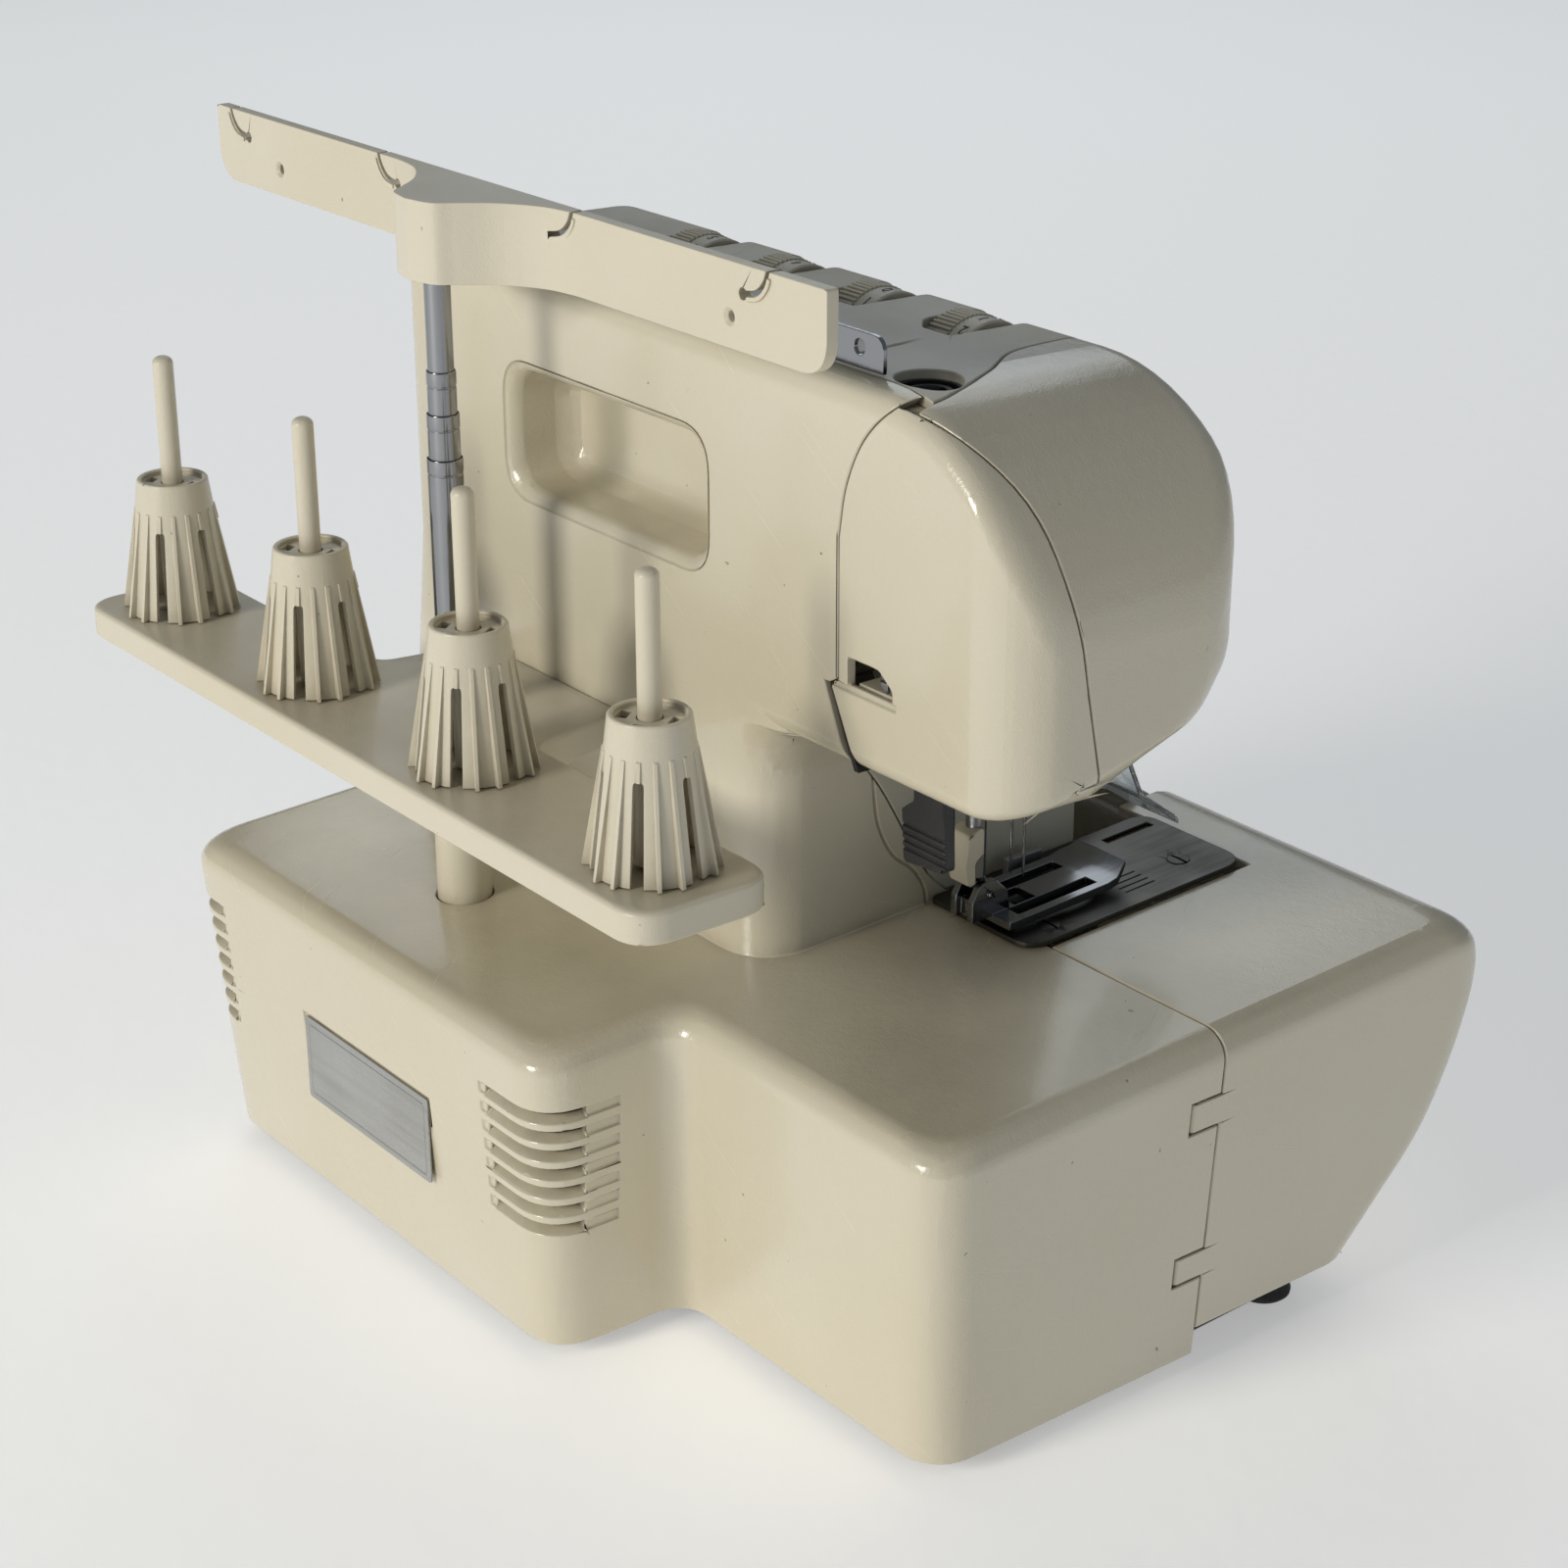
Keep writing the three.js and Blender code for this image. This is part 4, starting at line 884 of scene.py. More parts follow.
def lower_front_cover():
    strip = prism("yz", ribbon(FRONT_PROFILE, WALL), FRONT_LEFT, FRONT_RIGHT)
    back = BED_SEAM_Y - SEAM_GAP
    end = prism("yz", [*FRONT_PROFILE, (-49, 116.6), (back, 116.6), (back, 9.5)],
                FRONT_RIGHT - WALL, FRONT_RIGHT)
    shafts = []
    for name in SETTING_DIALS:
        shafts.append(bar("x", 3.6, *middle(name)[1:], 190, 230))
    cover = cut(join(strip, end), *shafts)
    for vertex in cover.data.vertices:
        along = (vertex.co.x - FRONT_LEFT) / (FRONT_RIGHT - FRONT_LEFT)
        vertex.co.x -= along * BED_DRAFT * (1 - min(1, vertex.co.z / BED_TOP))
    cover = cut(cover, box(COVER["left"] - 0.6, COVER["right"] + COVER["travel"] + 0.6, -130, -60, 14, 136))
    place(largest(cover), "lower_front_shell", "casing", "ivory_cover", ["lower_front_cover"], LIP,
          cell=CELL)


def looper_cover():
    left, right, y, z = COVER["left"], COVER["right"], COVER["hinge_y"], COVER["hinge_z"]
    outline = [(u, v) for u, v in FRONT_PROFILE if 31 < v < 134.4]
    cover = prism("yz", ribbon(outline, WALL), left, right)
    finger = lathe([(0, -4), (13, -4), (16, 0), (13, 4), (0, 4)], (right - 22, -110.6, 96), "y")
    cover = cut(cover, finger)
    cover = join(cover, bar("x", 5, y, z, left + 6, right - 6), box(left + 6, right - 6, -93, y, 24.5, 36))
    place_cover(cut(cover, bar("x", 3, y, z, 0, 200)), "looper_cover", "looper_cover")


# ---------------------------------------------------------------- stitching parts

def on_bed(piece):
    """Pieces that lie on the bed tilt with it."""
    for vertex in piece.data.vertices:
        vertex.co.z -= BED_TILT * (vertex.co.y - BED_SEAM_Y)
    return piece


def needle_plate():
    left, right, front, back, bottom, thick = -34.8, 11.4, -78, 12.6, BED_TOP + 0.4, 1.6
    outline = rounded([(left, front, 9), (right, front, 7), (right, back, 3), (left, back, 9)], 10)
    top = bottom + thick
    holes = [box(x, x + 4, -32, 8, 100, 130) for x in (-21.5, -6.2)]
    holes += [box(-16, -8, -4.6, 0.6, 100, 130), box(3.2, 7.4, -28, -12, 100, 130),
              box(2.5, 5.5, -74, -54, 100, 130)]
    holes += [box(x, x + 0.35, -46, -34, top - 0.3, 130) for x in (-27, -24, -21, -18)]
    screws = ((-27, -2), (-21, -62))
    holes += [lathe([(0, bottom - 1), (1.6, bottom - 1), (1.6, bottom + 0.2), (4.3, top + 0.4),
                     (0, top + 0.4)], (x, y, 0)) for x, y in screws]
    place(on_bed(cut(prism("xy", outline, bottom, top), *holes)), "needle_plate_face", "casing", "dark_steel",
          ["needle_plate"], 0.25, cell=CELL)
    for i, (x, y) in enumerate(screws):
        head = lathe([(0, bottom - 0.6), (1.3, bottom - 0.6), (1.3, bottom + 0.3), (3.7, top - 0.1),
                      (3.4, top + 0.25), (0, top + 0.5)], (x, y, 0))
        slot = box(x - 5, x + 5, y - 0.45, y + 0.45, top - 0.7, top + 2)
        place(on_bed(cut(head, slot)), f"needle_plate_screw_{i + 1}", "casing", "dark_steel", edge=0.08)


def presser_foot():
    sole = prism("yz", [(-39, 122.6), (-37.5, 121.2), (-33, 119.2), (-28, 118.3), (12, 118.3), (12, 120.9),
                        (-28, 121), (-33, 122), (-38.4, 124.2)], -25, 1.6)
    toes = [box(-22, -17, -26, 6, 110, 130), box(-7, -2, -26, 6, 110, 130),
            box(-16.5, -7.5, -6, 2.6, 110, 130),
            prism("xy", [(-26, -41), (-20, -41), (-26, -30)], 110, 130),
            prism("xy", [(-3, -41), (3, -41), (3, -30)], 110, 130)]
    ears = [prism("yz", rounded([(5, 120.4, 0.4), (20, 120.4, 0.4), (20, 127, 2), (17, 132.2, 1.5),
                                 (11, 132.2, 1.5), (6, 127, 2)]), x, x + 2.4) for x in (-17, -9.4)]
    block = prism("yz", rounded([(8, 120.4, 0.4), (18, 120.4, 0.4), (18, 126, 1), (8, 126, 1)]), -15, -9)
    pin = bar("x", 1.3, 13, 128, -18.2, -5.8)
    foot = join(cut(sole, *toes), block, *ears, pin)
    place(on_bed(foot), "presser_foot_steel", "presser_foot", "dark_steel", ["presser_foot"], 0.2,
          "foot_steel")


def foot_release():
    """The pale lever behind the presser foot."""
    outline = rounded([(15, 150, 1.5), (21, 148, 1.5), (22.5, 138, 3), (21, 131.5, 1.5), (18, 131.5, 1.5),
                       (18.4, 139, 3), (15, 141, 0.5)], 6)
    place(prism("yz", outline, -16, -7.5), "presser_foot_release", "presser_bar", "ivory_stand", edge=0.4)


def needle_clamp():
    x, y = NEEDLE_X, NEEDLE_BAR_Y
    block = prism("xy", rounded([(x - 7, y - 5.5, 1.5), (x + 7, y - 5.5, 1.5), (x + 7, y + 3.5, 1.5),
                                 (x - 7, y + 3.5, 1.5)]), 156, 165)
    head = cut(lathe([(0, y - 9), (2.4, y - 9), (2.8, y - 8.6), (2.8, y - 6), (0, y - 6)], (x, 0, 160), "y"),
               box(x - 4, x + 4, y - 10, y - 8.2, 159.6, 160.4))
    stem = bar("y", 1.5, x, 160, y - 7, y - 5)
    place(join(block, head, stem), "needle_clamp_block", "needle_bar", "steel", ["needle_clamp"], 0.25)
    for i, offset in enumerate((-2.8, 2.8)):
        needle = lathe([(0, 127), (0.3, 129), (0.45, 133), (0.48, 146), (0.8, 149), (0.85, 156.5),
                        (0, 156.5)], (x + offset, y, 0), sides=24)
        place(needle, f"needle_{i + 1}", "needle_bar", "chrome")


def presser_lifter():
    outline = rounded([(-52, 160, 2), (-34, 158, 2), (-33, 174, 1.5), (-38, 178, 1.5), (-38, 202, 3),
                       (-50, 202, 3)])
    grips = [box(-54, -30, 61.5, 64, z, z + 0.9) for z in (162, 164.4, 166.8, 169.2)]
    lever = cut(join(prism("xz", outline, 58, 62), bar("x", 4, 60, 198, -50, -38)),
                bar("x", 1.8, 60, 198, -60, -20), *grips)
    place(lever, "presser_lifter_lever", "presser_lifter", "black_plastic", ["presser_lifter"], 0.3)


def finger_guard():
    section = [(-8.4, 214), (-6.9, 214), (-8.2, 184), (-19, 160), (-38, 146), (-39, 147.2), (-20.4, 161),
               (-9.7, 184.6)]
    bent = rounded([(y, z, 0 if i in (0, 1, 4, 5) else 3) for i, (y, z) in enumerate(section)], 6)
    guard = prism("yz", bent, -46, -20)
    trimmed = cut(guard, prism("xy", [(-48, -41), (-42, -41), (-48, -30)], 130, 220),
                  prism("xy", [(-24, -41), (-18, -41), (-18, -30)], 130, 220))
    place(trimmed, "finger_guard_clear", "casing", "clear_plastic", ["finger_guard"], 0.3)


# ---------------------------------------------------------------- spool stand and pole

def stand_plate():
    (x0, x1), (y0, y1), (bottom, top) = span("stand_plate")
    pole_x, pole_y = middle("stand_post")[:2]
    front = 2 * PIN_Y - y1
    rim = rounded([(x0, front, 12), (pole_x - 42, front, 8), (pole_x - 34, y0, 0), (pole_x + 44, y0, 0),
                   (pole_x + 50, front, 8), (x1, front, 12), (x1, y1, 12), (x0, y1, 12)], 10)
    levels = []
    centre = Vector(((x0 + x1) / 2, (front + y1) / 2))
    for z, inset in ((bottom, 0.5), (bottom + 0.5, 0), (top - 1.6, 0), (top - 0.9, 0.2), (top - 0.3, 0.8),
                     (top, 1.7)):
        ring = []
        for x, y in rim:
            sideways = math.copysign(inset, x - centre.x)
            inwards = math.copysign(inset, y - centre.y) if y > front - 1 else 0
            ring.append((x - sideways, y - inwards))
        levels.append((z, ring))
    under = box(x0 + 3, x1 - 3, front + 3, y1 - 3, bottom - 3, bottom + 6.5)
    pins_x = [PIN_FIRST_X + PIN_PITCH * i for i in range(THREADS)]
    posts = [bar("z", 6, x, PIN_Y, bottom + 0.2, bottom + 8) for x in pins_x]
    ribs = [box(x0 + 2, x1 - 2, PIN_Y - 0.8, PIN_Y + 0.8, bottom + 1, bottom + 8),
            bar("z", 11, pole_x, pole_y, bottom, bottom + 8)]
    plate = join(cut(loft("xy", levels), under), *posts, *ribs)
    holes = [bar("z", 3.7, x, PIN_Y, top - 6, top + 20) for x in pins_x]
    plate = cut(plate, *holes, bar("z", 5.8, pole_x, pole_y, 100, 200))
    place(plate, "stand_plate_moulding", "casing", "ivory_stand", ["stand_plate"], 0.25, cell=CELL)


def around(turns, make):
    """One piece for each of the given turns about Z."""
    return [moved(make(), Matrix.Rotation(turn, 4, "Z")) for turn in turns]


def cone_holder(i):
    """A slotted, finned cone that slips over a spool pin."""
    x, y, base, bottom, top = upright(f"cone_holder_{i}")
    height, crown, wall, bore = top - bottom, 11.6, 1.8, 3.7
    root = base - 2.3                        # radius of the skin between the fins at the bottom
    slope = (root - crown) / height
    skin = lathe([(bore, height - 3.4), (bore, height - 1.6), (crown - wall, height - 1.6),
                  (crown - wall, height - 0.4), (crown - wall + 0.5, height), (crown - 0.5, height),
                  (crown, height - 0.6), (root, 0), (root - wall, 0),
                  (crown - wall + slope * 3.4, height - 3.4), (bore, height - 3.4)], sides=96)
    fins = around([2 * math.pi * (k + 0.5) / 18 for k in range(18)], lambda: prism("xz", [
        (root - 1, 0), (base, 0), (root - slope * height * 0.78 + 0.3, height * 0.78),
        (crown - 0.6, height * 0.82)], -0.6, 0.6))
    slots = around([2 * math.pi * k / 6 + 0.17 for k in range(6)], lambda: prism("yz", rounded([
        (-1.9, -2, 0), (1.9, -2, 0), (1.5, height * 0.66, 1.4), (-1.5, height * 0.66, 1.4)]), 8, 30))
    windows = around([math.pi / 2 * k + 0.6 for k in range(4)], lambda: box(
        bore + 2.2, crown - wall - 0.6, -2.6, 2.6, height - 5, height))
    cone = cut(join(skin, *fins), *slots, *windows)
    cone = join(cone, tube("z", bore + 1.8, bore, 0, 0, 1, height - 3))
    moved(cone, Matrix.Translation((x, y, bottom)))
    place(cone, f"cone_holder_{i}_moulding", f"cone_holder_{i}", "ivory_stand", [f"cone_holder_{i}"], 0.15)


def spool_pin(i):
    x, y, radius, bottom, top = upright(f"spool_pin_{i}")
    angles = [math.pi / 2 * k / 8 for k in range(8)]
    nose = [(radius * math.cos(a), top - 2.4 + 2.4 * math.sin(a)) for a in angles]
    pin = lathe([(0, bottom), (radius - 0.3, bottom), (radius, bottom + 0.3), *nose, (0, top)], (x, y, 0))
    place(pin, f"spool_pin_{i}_moulding", "casing", "ivory_stand", [f"spool_pin_{i}"])


def stand_post():
    (x0, x1), (y0, _), (bottom, top) = span("stand_post")
    radius = (x1 - x0) / 2
    bore = 5.8
    post = lathe([(bore, bottom), (radius, bottom), (radius, top - 3), (radius - 0.4, top), (bore, top),
                  (bore, bottom)], ((x0 + x1) / 2, y0 + radius, 0))
    place(post, "stand_post_moulding", "casing", "ivory_stand", ["stand_post"])


def pole_sections():
    """The telescopic pole: each tube but the last ends in a rolled collar."""
    bodies = ("casing", "pole_2", "pole_3", "pole_4")
    wall = 0.35
    for i, body in enumerate(bodies):
        x, y, radius, bottom, top = upright(f"pole_section_{i + 1}")
        if body != bodies[-1]:
            inner, straight, neck = radius - wall, radius - 0.08, radius - 0.22
            profile = [(inner, bottom), (straight, bottom), (straight, top - 5.2), (neck, top - 4.9),
                       (neck, top - 4.4), (radius, top - 4.1), (radius, top - 0.5),
                       (radius - 0.12, top - 0.1), (inner + 0.05, top), (inner, top - 0.2), (inner, bottom)]
        else:
            profile = [(0, bottom), (radius, bottom), (radius, top - 0.4), (radius - 0.4, top), (0, top)]
        place(lathe(profile, (x, y, 0)), f"pole_tube_{i + 1}", body, "chrome", [f"pole_section_{i + 1}"])


def thread_guide():
    (x0, x1), (y0, _), (bottom, top) = span("thread_guide")
    pole_x, pole_y = middle("pole_section_4")[:2]
    half, front = (x1 - x0) / 2, y0
    back = front + 4
    bulge = smooth([(52, back), (46, back + 0.2), (34, back + 2.5), (22, back + 10), (14, pole_y + 2),
                    (10, pole_y + 7), (0, pole_y + 9.5)], 36)
    right = [(half, back), *bulge]
    left = [(-x, y) for x, y in right[-2::-1]]
    outline = [(pole_x + x, y) for x, y in [*right, *left, (-half, front), (half, front)]]
    side = rounded([(x0, bottom, 11), (x1, bottom, 11), (x1, top, 1), (x0, top, 1)], 12)
    guide = common(prism("xy", outline, bottom, top), prism("xz", side, 0, 200))
    cutters = [bar("z", 4.2, pole_x, pole_y, bottom - 5, top - 4)]
    bosses = []
    for eye_x, slit_x, facing in ((-2, -19, -1), (86, 70, -1), (145, 174, 1), (235, 265, 1)):
        cutters.append(lathe([(0, front - 1), (2.6, front - 1), (2.6, front), (1.5, front + 1),
                              (1.5, back - 1), (2.6, back), (2.6, back + 1), (0, back + 1)],
                             (eye_x, 0, bottom + 8.5), "y", 24))
        hook = smooth([(slit_x, top + 1), (slit_x - facing * 1.5, top - 3), (slit_x - facing * 5, top - 6.4),
                       (slit_x - facing * 10, top - 7.6)], 16)
        cutters.append(groove("xz", hook, 1.5, front - 2, back + 2))
        end_x = slit_x - facing * 11
        cutters.append(bar("y", 1.7, end_x, top - 7.8, front - 2, back + 2, 0.1))
        beside = [(u + facing * 1.3, v - 1.2) for u, v in hook[2:]]
        bosses.append(groove("xz", beside, 1.2, front, back + 0.7))
    guide = cut(guide, *cutters)
    hooks = common(join(*bosses), box(x0, x1, front, back + 1.2, bottom, top))
    place(guide, "thread_guide_bar", "thread_guide", "ivory_stand", ["thread_guide"], 0.2, cell=CELL)
    place(hooks, "thread_guide_hooks", "thread_guide", "ivory_stand", edge=0.2)


# ---------------------------------------------------------------- tension and small fittings

def numeral(text, size):
    """A thin solid numeral in the XY plane, centred on the origin."""
    curve = bpy.data.curves.new("numeral", "FONT")
    curve.body = text
    curve.size = size
    curve.extrude = 0.04
    curve.align_x = "CENTER"
    curve.align_y = "CENTER"
    glyph = bpy.data.objects.new("numeral", curve)
    bpy.context.scene.collection.objects.link(glyph)
    graph = bpy.context.evaluated_depsgraph_get()
    mesh = bpy.data.meshes.new_from_object(glyph.evaluated_get(graph))
    bpy.data.objects.remove(glyph)
    piece = bpy.data.objects.new("numeral", mesh)
    bpy.context.scene.collection.objects.link(piece)
    return piece


def toothed(radius, depth, count):
    """The outline of a wheel with count small ribs."""
    outline = []
    for k in range(count):
        for share, r in ((0.0, radius), (0.4, radius), (0.55, radius - depth), (0.9, radius - depth)):
            turn = 2 * math.pi * (k + share) / count
            outline.append((r * math.cos(turn), r * math.sin(turn)))
    return outline


def tension_dial(i):
    """A ribbed wheel with a band of numbers, of which the top of the panel shows one."""
    x, radius, half = dial_x(i), 16.0, 8.5
    wheel = prism("yz", toothed(radius, 0.8, 60), -1, half - 0.4)
    band = lathe([(0, -half), (radius - 1, -half), (radius - 0.5, -half + 0.5), (radius - 0.5, -1.2),
                  (0, -1.2)], (0, 0, 0), "x", 96)
    hub = bar("x", 11, 0, 0, half - 3, half, 0.4)
    dial = cut(join(wheel, band, hub), bar("x", 2.85, 0, 0, -30, 30))
    moved(dial, Matrix.Translation((x, DIAL_Y, DIAL_Z)))
    name = f"tension_dial_{i + 1}"
    place(dial, f"{name}_wheel", name, "ivory_panel", [name], 0.12)
    glyphs = []
    for number in range(10):
        back_turn = math.radians(NUMBER_STEP * (number - DIALS_SHOWN[i]))
        glyph = numeral(str(number), 5.2)
        stand = Matrix.Rotation(-back_turn, 4, "X") @ Matrix.Translation((-4.8, 0, radius - 0.46))
        glyphs.append(moved(glyph, Matrix.Translation((x, DIAL_Y, DIAL_Z)) @ stand))
    place(fuse(glyphs), f"{name}_numbers", name, "ivory_panel", look="ink")


def thread_guide_plate():
    (x0, x1), (y0, y1), (bottom, top) = span("thread_guide_plate")
    outline = rounded([(x0, bottom, 0.3), (x1, bottom, 0.3), (x1, top, 4.4), (x0, top, 4.4)], 8)
    holes = [bar("y", 2.3, dial_x(i) - 26, top - 4.4, 60, 80, 0.1) for i in range(THREADS)]
    place(cut(prism("xz", outline, y0, y1), *holes), "thread_guide_strip", "casing", "chrome",
          ["thread_guide_plate"], 0.15, cell=CELL)


def pressure_regulator():
    x, y, radius, bottom, top = upright("pressure_regulator")
    screw = lathe([(0, bottom), (radius - 0.5, bottom), (radius, bottom + 0.5), (radius, top - 0.8),
                   (radius - 0.8, top), (radius - 2.4, top), (radius - 3, top - 1.6), (0, top - 1.6)],
                  (x, y, 0))
    cross = [box(x - u, x + u, y - v, y + v, top - 4, top + 1) for u, v in ((5, 0.9), (0.9, 5))]
    place(cut(screw, *cross), "pressure_regulator_screw", "pressure_regulator", "black_plastic",
          ["pressure_regulator"], 0.2)
    place(tube("z", 9.35, 8.2, x, y, 288, 295.6), "pressure_regulator_well", "casing", "black_plastic")


def label_plate():
    (x0, x1), (y0, y1), (z0, z1) = span("label_plate")
    plate = prism("xz", stadium(x0, x1, z0, z1, 1.5), y0, y1)
    line = cut(prism("xz", stadium(x0 + 2, x1 - 2, z0 + 2, z1 - 2, 1), y1 - 0.15, y1 + 1),
               prism("xz", stadium(x0 + 2.5, x1 - 2.5, z0 + 2.5, z1 - 2.5, 1), y1 - 1, y1 + 2))
    place(cut(plate, line), "blank_label_plate", "casing", "label", ["label_plate"], 0.08)


# ---------------------------------------------------------------- handwheel end

def handwheel():
    (x0, x1), (y0, y1), _ = span("handwheel")
    width, radius = x1 - x0, (y1 - y0) / 2
    rim = lathe([(SHAFT_RADIUS, 0), (radius - 3, 0), (radius - 0.8, 2.2), (radius, 4.5),
                 (radius, width - 4.5), (radius - 0.8, width - 1.6), (radius - 3.2, width),
                 (radius - 6, width), (radius - 8.5, width - 1.2), (radius - 11, width - 3),
                 (13, width - 3.4), (10.5, width - 2.2), (9, width), (SHAFT_RADIUS, width),
                 (SHAFT_RADIUS, 0)], (x0, SHAFT_Y, SHAFT_Z), "x", 96)
    grips = []
    for k in range(36):
        turn = 2 * math.pi * k / 36
        y, z = SHAFT_Y + radius * math.cos(turn), SHAFT_Z + radius * math.sin(turn)
        grips.append(bar("x", 0.9, y, z, x0 + 4, x1 - 4, 0.2, 10))
    place(cut(rim, *grips), "handwheel_rim", "handwheel_shaft", "ivory_stand", ["handwheel"], 0.25)


def setting_dial(name):
    (x0, x1), (y0, y1), (z0, z1) = span(name)
    y, z, radius = (y0 + y1) / 2, (z0 + z1) / 2, (y1 - y0) / 2
    face = x1 - 8
    knob = prism("yz", [(y + u, z + v) for u, v in toothed(radius, 0.7, 44)], face, x1 - 1.2)
    cap = lathe([(0, x1 - 1.4), (radius - 0.9, x1 - 1.4), (radius - 2.2, x1), (0, x1)], (0, y, z), "x")
    pointer = box(x1 - 0.4, x1 + 1, y - 0.5, y + 0.5, z + 3, z + radius)
    shaft = bar("x", 3, y, z, x0, face + 1)
    place(cut(join(knob, cap, shaft), pointer), f"{name}_knob", name, "ivory_stand", [name], 0.2)


def power_switch():
    _, (y0, y1), (z0, z1) = span("power_switch")
    z = (z0 + z1) / 2
    rocker = prism("xz", rounded([(204, z - 4, 0.5), (212.6, z0, 0.5), (215.8, z0 + 0.3, 1), (213.6, z, 4),
                                  (214.6, z1 - 0.3, 1), (212.6, z1, 0.5), (204, z + 4, 0.5)]), y0, y1)
    marks = [box(212, 217, (y0 + y1) / 2 - 0.4, (y0 + y1) / 2 + 0.4, z1 - 5.4, z1 - 2.2),
             bar("y", 1.6, 208, z, 0, 200)]
    place(cut(rocker, *marks), "power_switch_rocker", "power_switch", "black_plastic", ["power_switch"], 0.3)


def inlet_socket():
    (x0, x1), (y0, y1), (z0, z1) = span("inlet_socket")
    shell = prism("yz", stadium(y0, y1, z0, z1, 2), x0, x1)
    mouth = prism("yz", stadium(y0 + 2.5, y1 - 2.5, z0 + 2.5, z1 - 2.5, 3), x0 + 2, x1 + 5)
    pins = [bar("x", 1.5, (y0 + y1) / 2 + offset, (z0 + z1) / 2, x0 + 1, x1 - 2, 0.4, 24)
            for offset in (-5, 5)]
    place(cut(shell, mouth), "inlet_socket_shell", "casing", "black_plastic", ["inlet_socket"], 0.3)
    for i, pin in enumerate(pins):
        place(pin, f"inlet_pin_{i + 1}", "casing", "steel")


def rubber_foot(i):
    x, y, radius, bottom, top = upright(f"rubber_foot_{i}")
    foot = lathe([(0, bottom + 0.9), (4, bottom + 0.9), (4.6, bottom), (radius - 1.2, bottom),
                  (radius - 0.2, bottom + 0.9), (radius, bottom + 2), (radius - 0.8, top), (0, top)],
                 (x, y, 0))
    place(foot, f"rubber_foot_{i}_pad", "casing", "rubber", [f"rubber_foot_{i}"])


# ---------------------------------------------------------------- inner parts that keep their CAD shape

KEPT = {
    "base_plate": ("painted_steel", 0.5), "machine_frame": ("cast_alloy", 0.8), "main_shaft": ("steel", 0.3),
    "driven_pulley": ("black_plastic", 0.5), "motor": ("dark_steel", 0.8), "motor_pulley": ("steel", 0.3),
    "drive_belt": ("rubber", 0.3), "looper_cover_rod": ("steel", 0.2), "feed_dog": ("steel", 0.2),
    "lower_looper": ("steel", 0.3), "upper_looper": ("steel", 0.3), "upper_knife": ("steel", 0.2),
    "lower_knife": ("steel", 0.2), "thread_cutter": ("black_plastic", 0.2), "tension_shaft": ("steel", 0.2),
    "presser_bar": ("chrome", 0.2), "needle_bar": ("chrome", 0.2),
}


def dress(node, look, edge):
    """Gives a CAD node its material and rounds its edges for the eye; its own mesh stays as it is."""
    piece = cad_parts[node]
    piece.data.materials.clear()
    piece.data.materials.append(LOOKS[look])
    weld = piece.modifiers.new("weld", "WELD")
    weld.merge_threshold = 0.00001
    flat = piece.modifiers.new("flat", "DECIMATE")
    flat.decimate_type = "DISSOLVE"
    flat.angle_limit = math.radians(1)
    soften(piece, edge)


# ---------------------------------------------------------------- floor, light and camera

def stage():
    """A plain pale floor, lit a little from below like a light table."""
    look = Look("studio_floor", srgb(246, 246, 245), 0.7, Emission_Color=(1, 1, 1, 1), Emission_Strength=0.36)
    look.tint(look.noise(0.8, 2, to=(0.0, 0.3)), srgb(240, 240, 240))
    look.bump(look.noise(60, 2), 0.0001)
    mesh = bpy.data.meshes.new("studio_floor")
    reach = 60.0
    mesh.from_pydata([(-reach, -reach, 0), (reach, -reach, 0), (reach, reach, 0), (-reach, reach, 0)], [],
                     [(0, 1, 2, 3)])
    mesh.materials.append(look.material)
    floor = bpy.data.objects.new("studio_floor", mesh)
    bpy.context.scene.collection.objects.link(floor)


def softbox(name, azimuth, elevation, distance, size, power, color):
    """A round lamp aimed at the object; azimuth 0 is in front, at -Y, and 90 towards +X."""
    low, high = CAD_BOX
    aim = (low + high) / 2
    a, e = math.radians(azimuth), math.radians(elevation)
    away = Vector((math.sin(a) * math.cos(e), -math.cos(a) * math.cos(e), math.sin(e)))
    lamp = bpy.data.lights.new(name, "AREA")
    lamp.shape = "DISK"
    lamp.size = size
    lamp.energy = power
    lamp.color = color
    holder = bpy.data.objects.new(name, lamp)
    holder.location = aim + away * distance
    holder.rotation_euler = (-away).to_track_quat("-Z", "Y").to_euler()
    bpy.context.scene.collection.objects.link(holder)


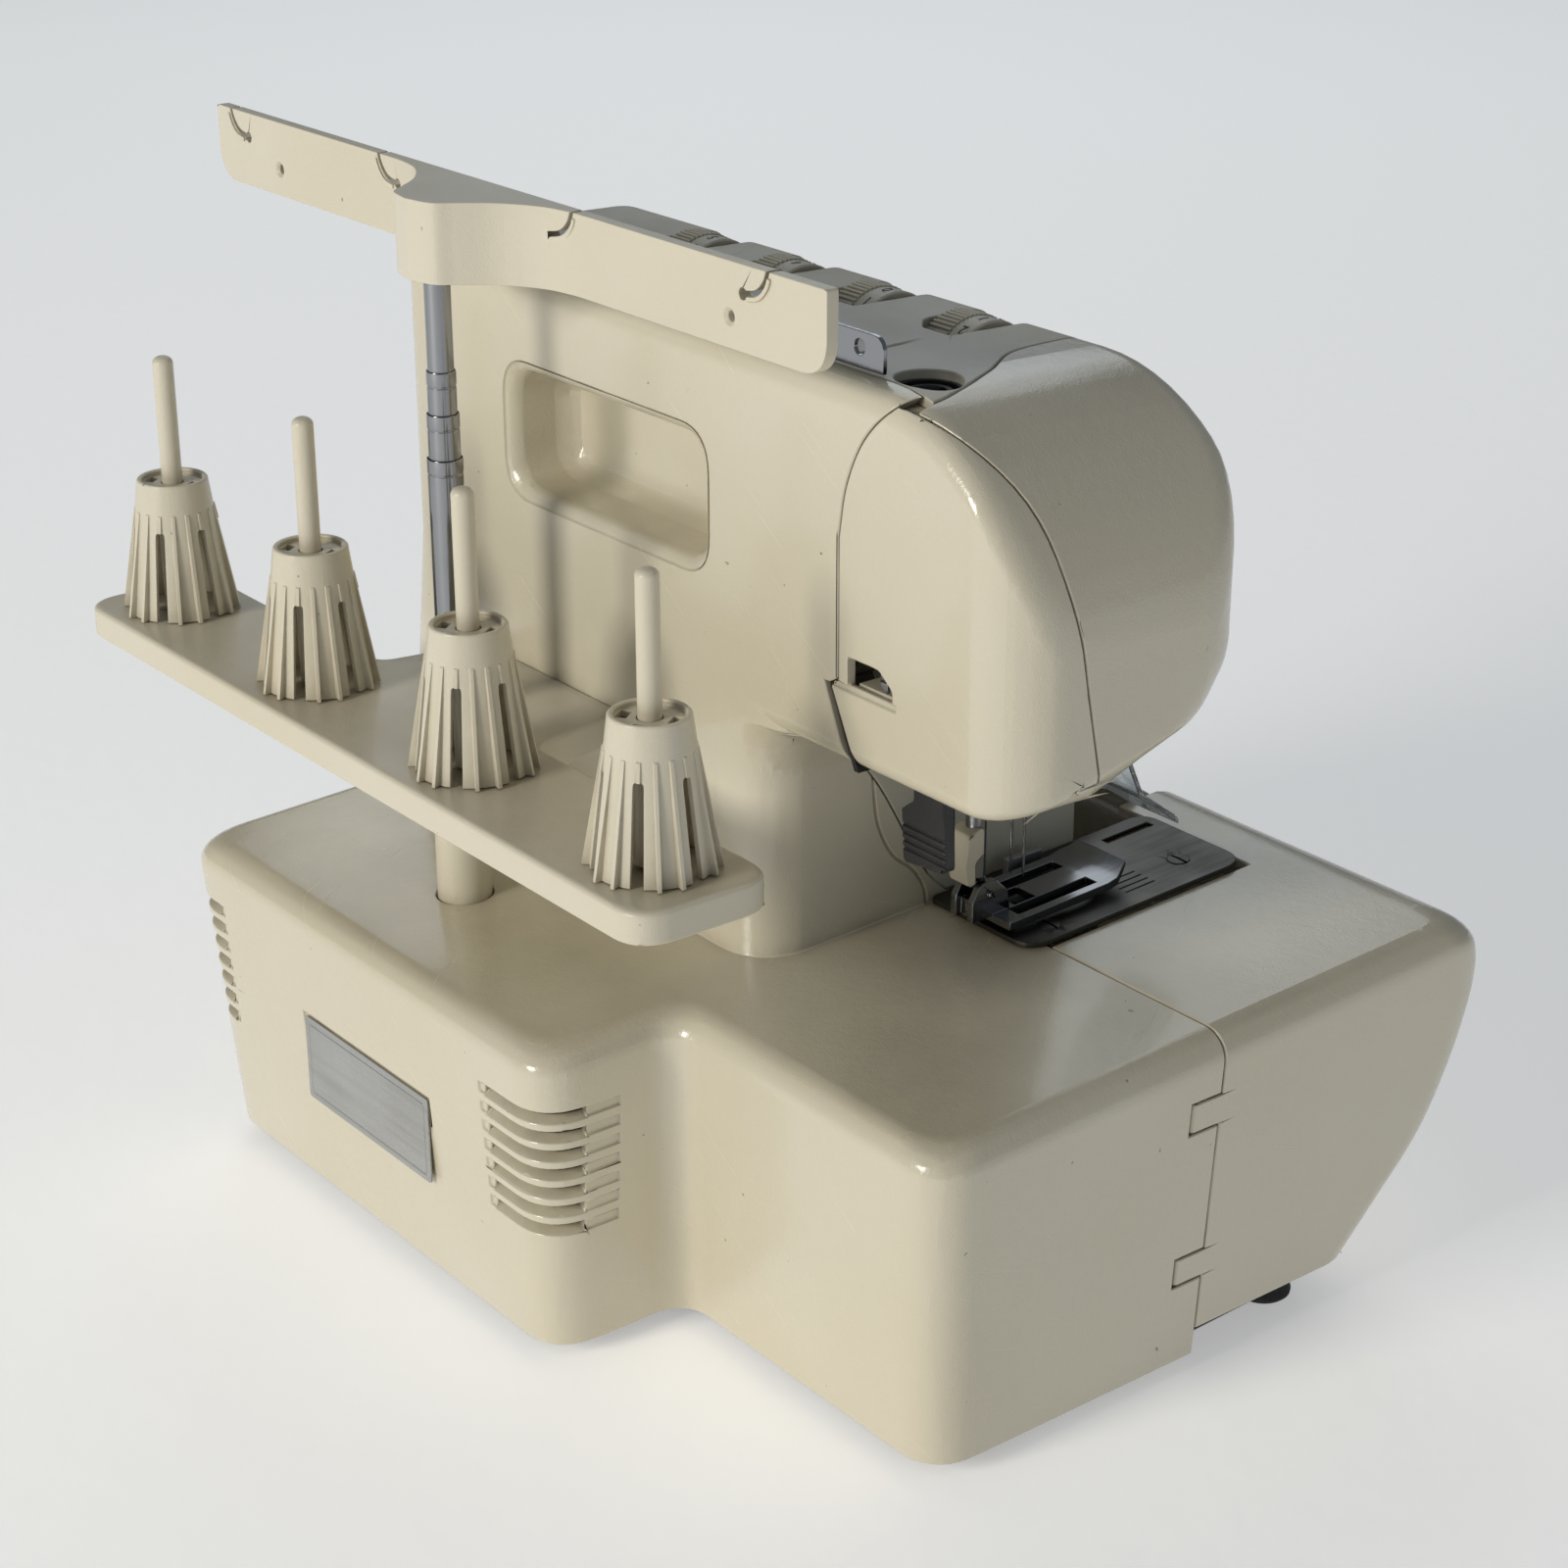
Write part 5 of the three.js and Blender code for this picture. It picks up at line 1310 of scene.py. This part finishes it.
def backdrop():
    """Cool light from all round, and a paler backdrop for the eye."""
    world = bpy.data.worlds.new("studio")
    world.use_nodes = True
    tree = world.node_tree
    mix = tree.nodes.new("ShaderNodeMixShader")
    light, seen = tree.nodes["Background"], tree.nodes.new("ShaderNodeBackground")
    tree.links.new(tree.nodes.new("ShaderNodeLightPath").outputs["Is Camera Ray"], mix.inputs[0])
    for node, color, strength, socket in ((light, (0.84, 0.92, 1.0, 1.0), 0.2, 1),
                                          (seen, (0.93, 0.96, 1.0, 1.0), 0.6, 2)):
        node.inputs["Color"].default_value = color
        node.inputs["Strength"].default_value = strength
        tree.links.new(node.outputs[0], mix.inputs[socket])
    tree.links.new(mix.outputs[0], tree.nodes["World Output"].inputs["Surface"])
    bpy.context.scene.world = world
    bpy.context.scene.view_settings.view_transform = "Standard"


def lighting():
    """A warm main light from behind the stand, low enough to leave the tops darker, and a cool far light."""
    softbox("main_light", 180.5, 19, 3.2, 1.0, 51, (1.0, 0.955, 0.87))
    softbox("far_light", 52, 34, 3.0, 1.8, 9, (0.9, 0.96, 1.0))
    backdrop()


def camera():
    """The viewpoint behind the needle end, above the stand, in degrees and millimetres."""
    place_at, heading, pitch, roll = (-659.31, 592.84, 525.85), -37.779, -23.835, -0.179
    focal_share, image_side = 3234.5, 1600.0     # focal length in the same units as the image's side
    centre_x, centre_y = 790.0, 860.0            # where the lens axis meets the image
    data = bpy.data.cameras.new("camera")
    data.sensor_width = 36.0
    data.lens = focal_share / image_side * data.sensor_width
    data.shift_x = (image_side / 2 - centre_x) / image_side
    data.shift_y = (centre_y - image_side / 2) / image_side
    holder = bpy.data.objects.new("camera", data)
    holder.location = TO_FRAME @ Vector(place_at)
    y, p = math.radians(heading), math.radians(pitch)
    forward = Vector((math.cos(p) * math.cos(y), math.cos(p) * math.sin(y), math.sin(p)))
    right = Vector((math.sin(y), -math.cos(y), 0))
    up = right.cross(forward)
    turn = Matrix((right, up, -forward)).transposed()
    holder.rotation_euler = (turn @ Matrix.Rotation(math.radians(roll), 3, "Z")).to_euler()
    bpy.context.scene.collection.objects.link(holder)
    bpy.context.scene.camera = holder


# ---------------------------------------------------------------- the machine

camera()
stage()
lighting()

for node, (look_name, edge_width) in KEPT.items():
    dress(node, look_name, edge_width)

for build in (rear_housing, front_panel, head_rear_cover, seam_flange, face_cover, side_cover,
              lower_front_cover, looper_cover, needle_plate, presser_foot, foot_release, needle_clamp,
              presser_lifter, finger_guard, stand_plate, stand_post, pole_sections, thread_guide,
              thread_guide_plate, pressure_regulator, label_plate, handwheel, power_switch, inlet_socket):
    build()
for dial_name in SETTING_DIALS:
    setting_dial(dial_name)
for index in range(THREADS):                 # the feet are four as well
    tension_dial(index)
    cone_holder(index + 1)
    spool_pin(index + 1)
    rubber_foot(index + 1)
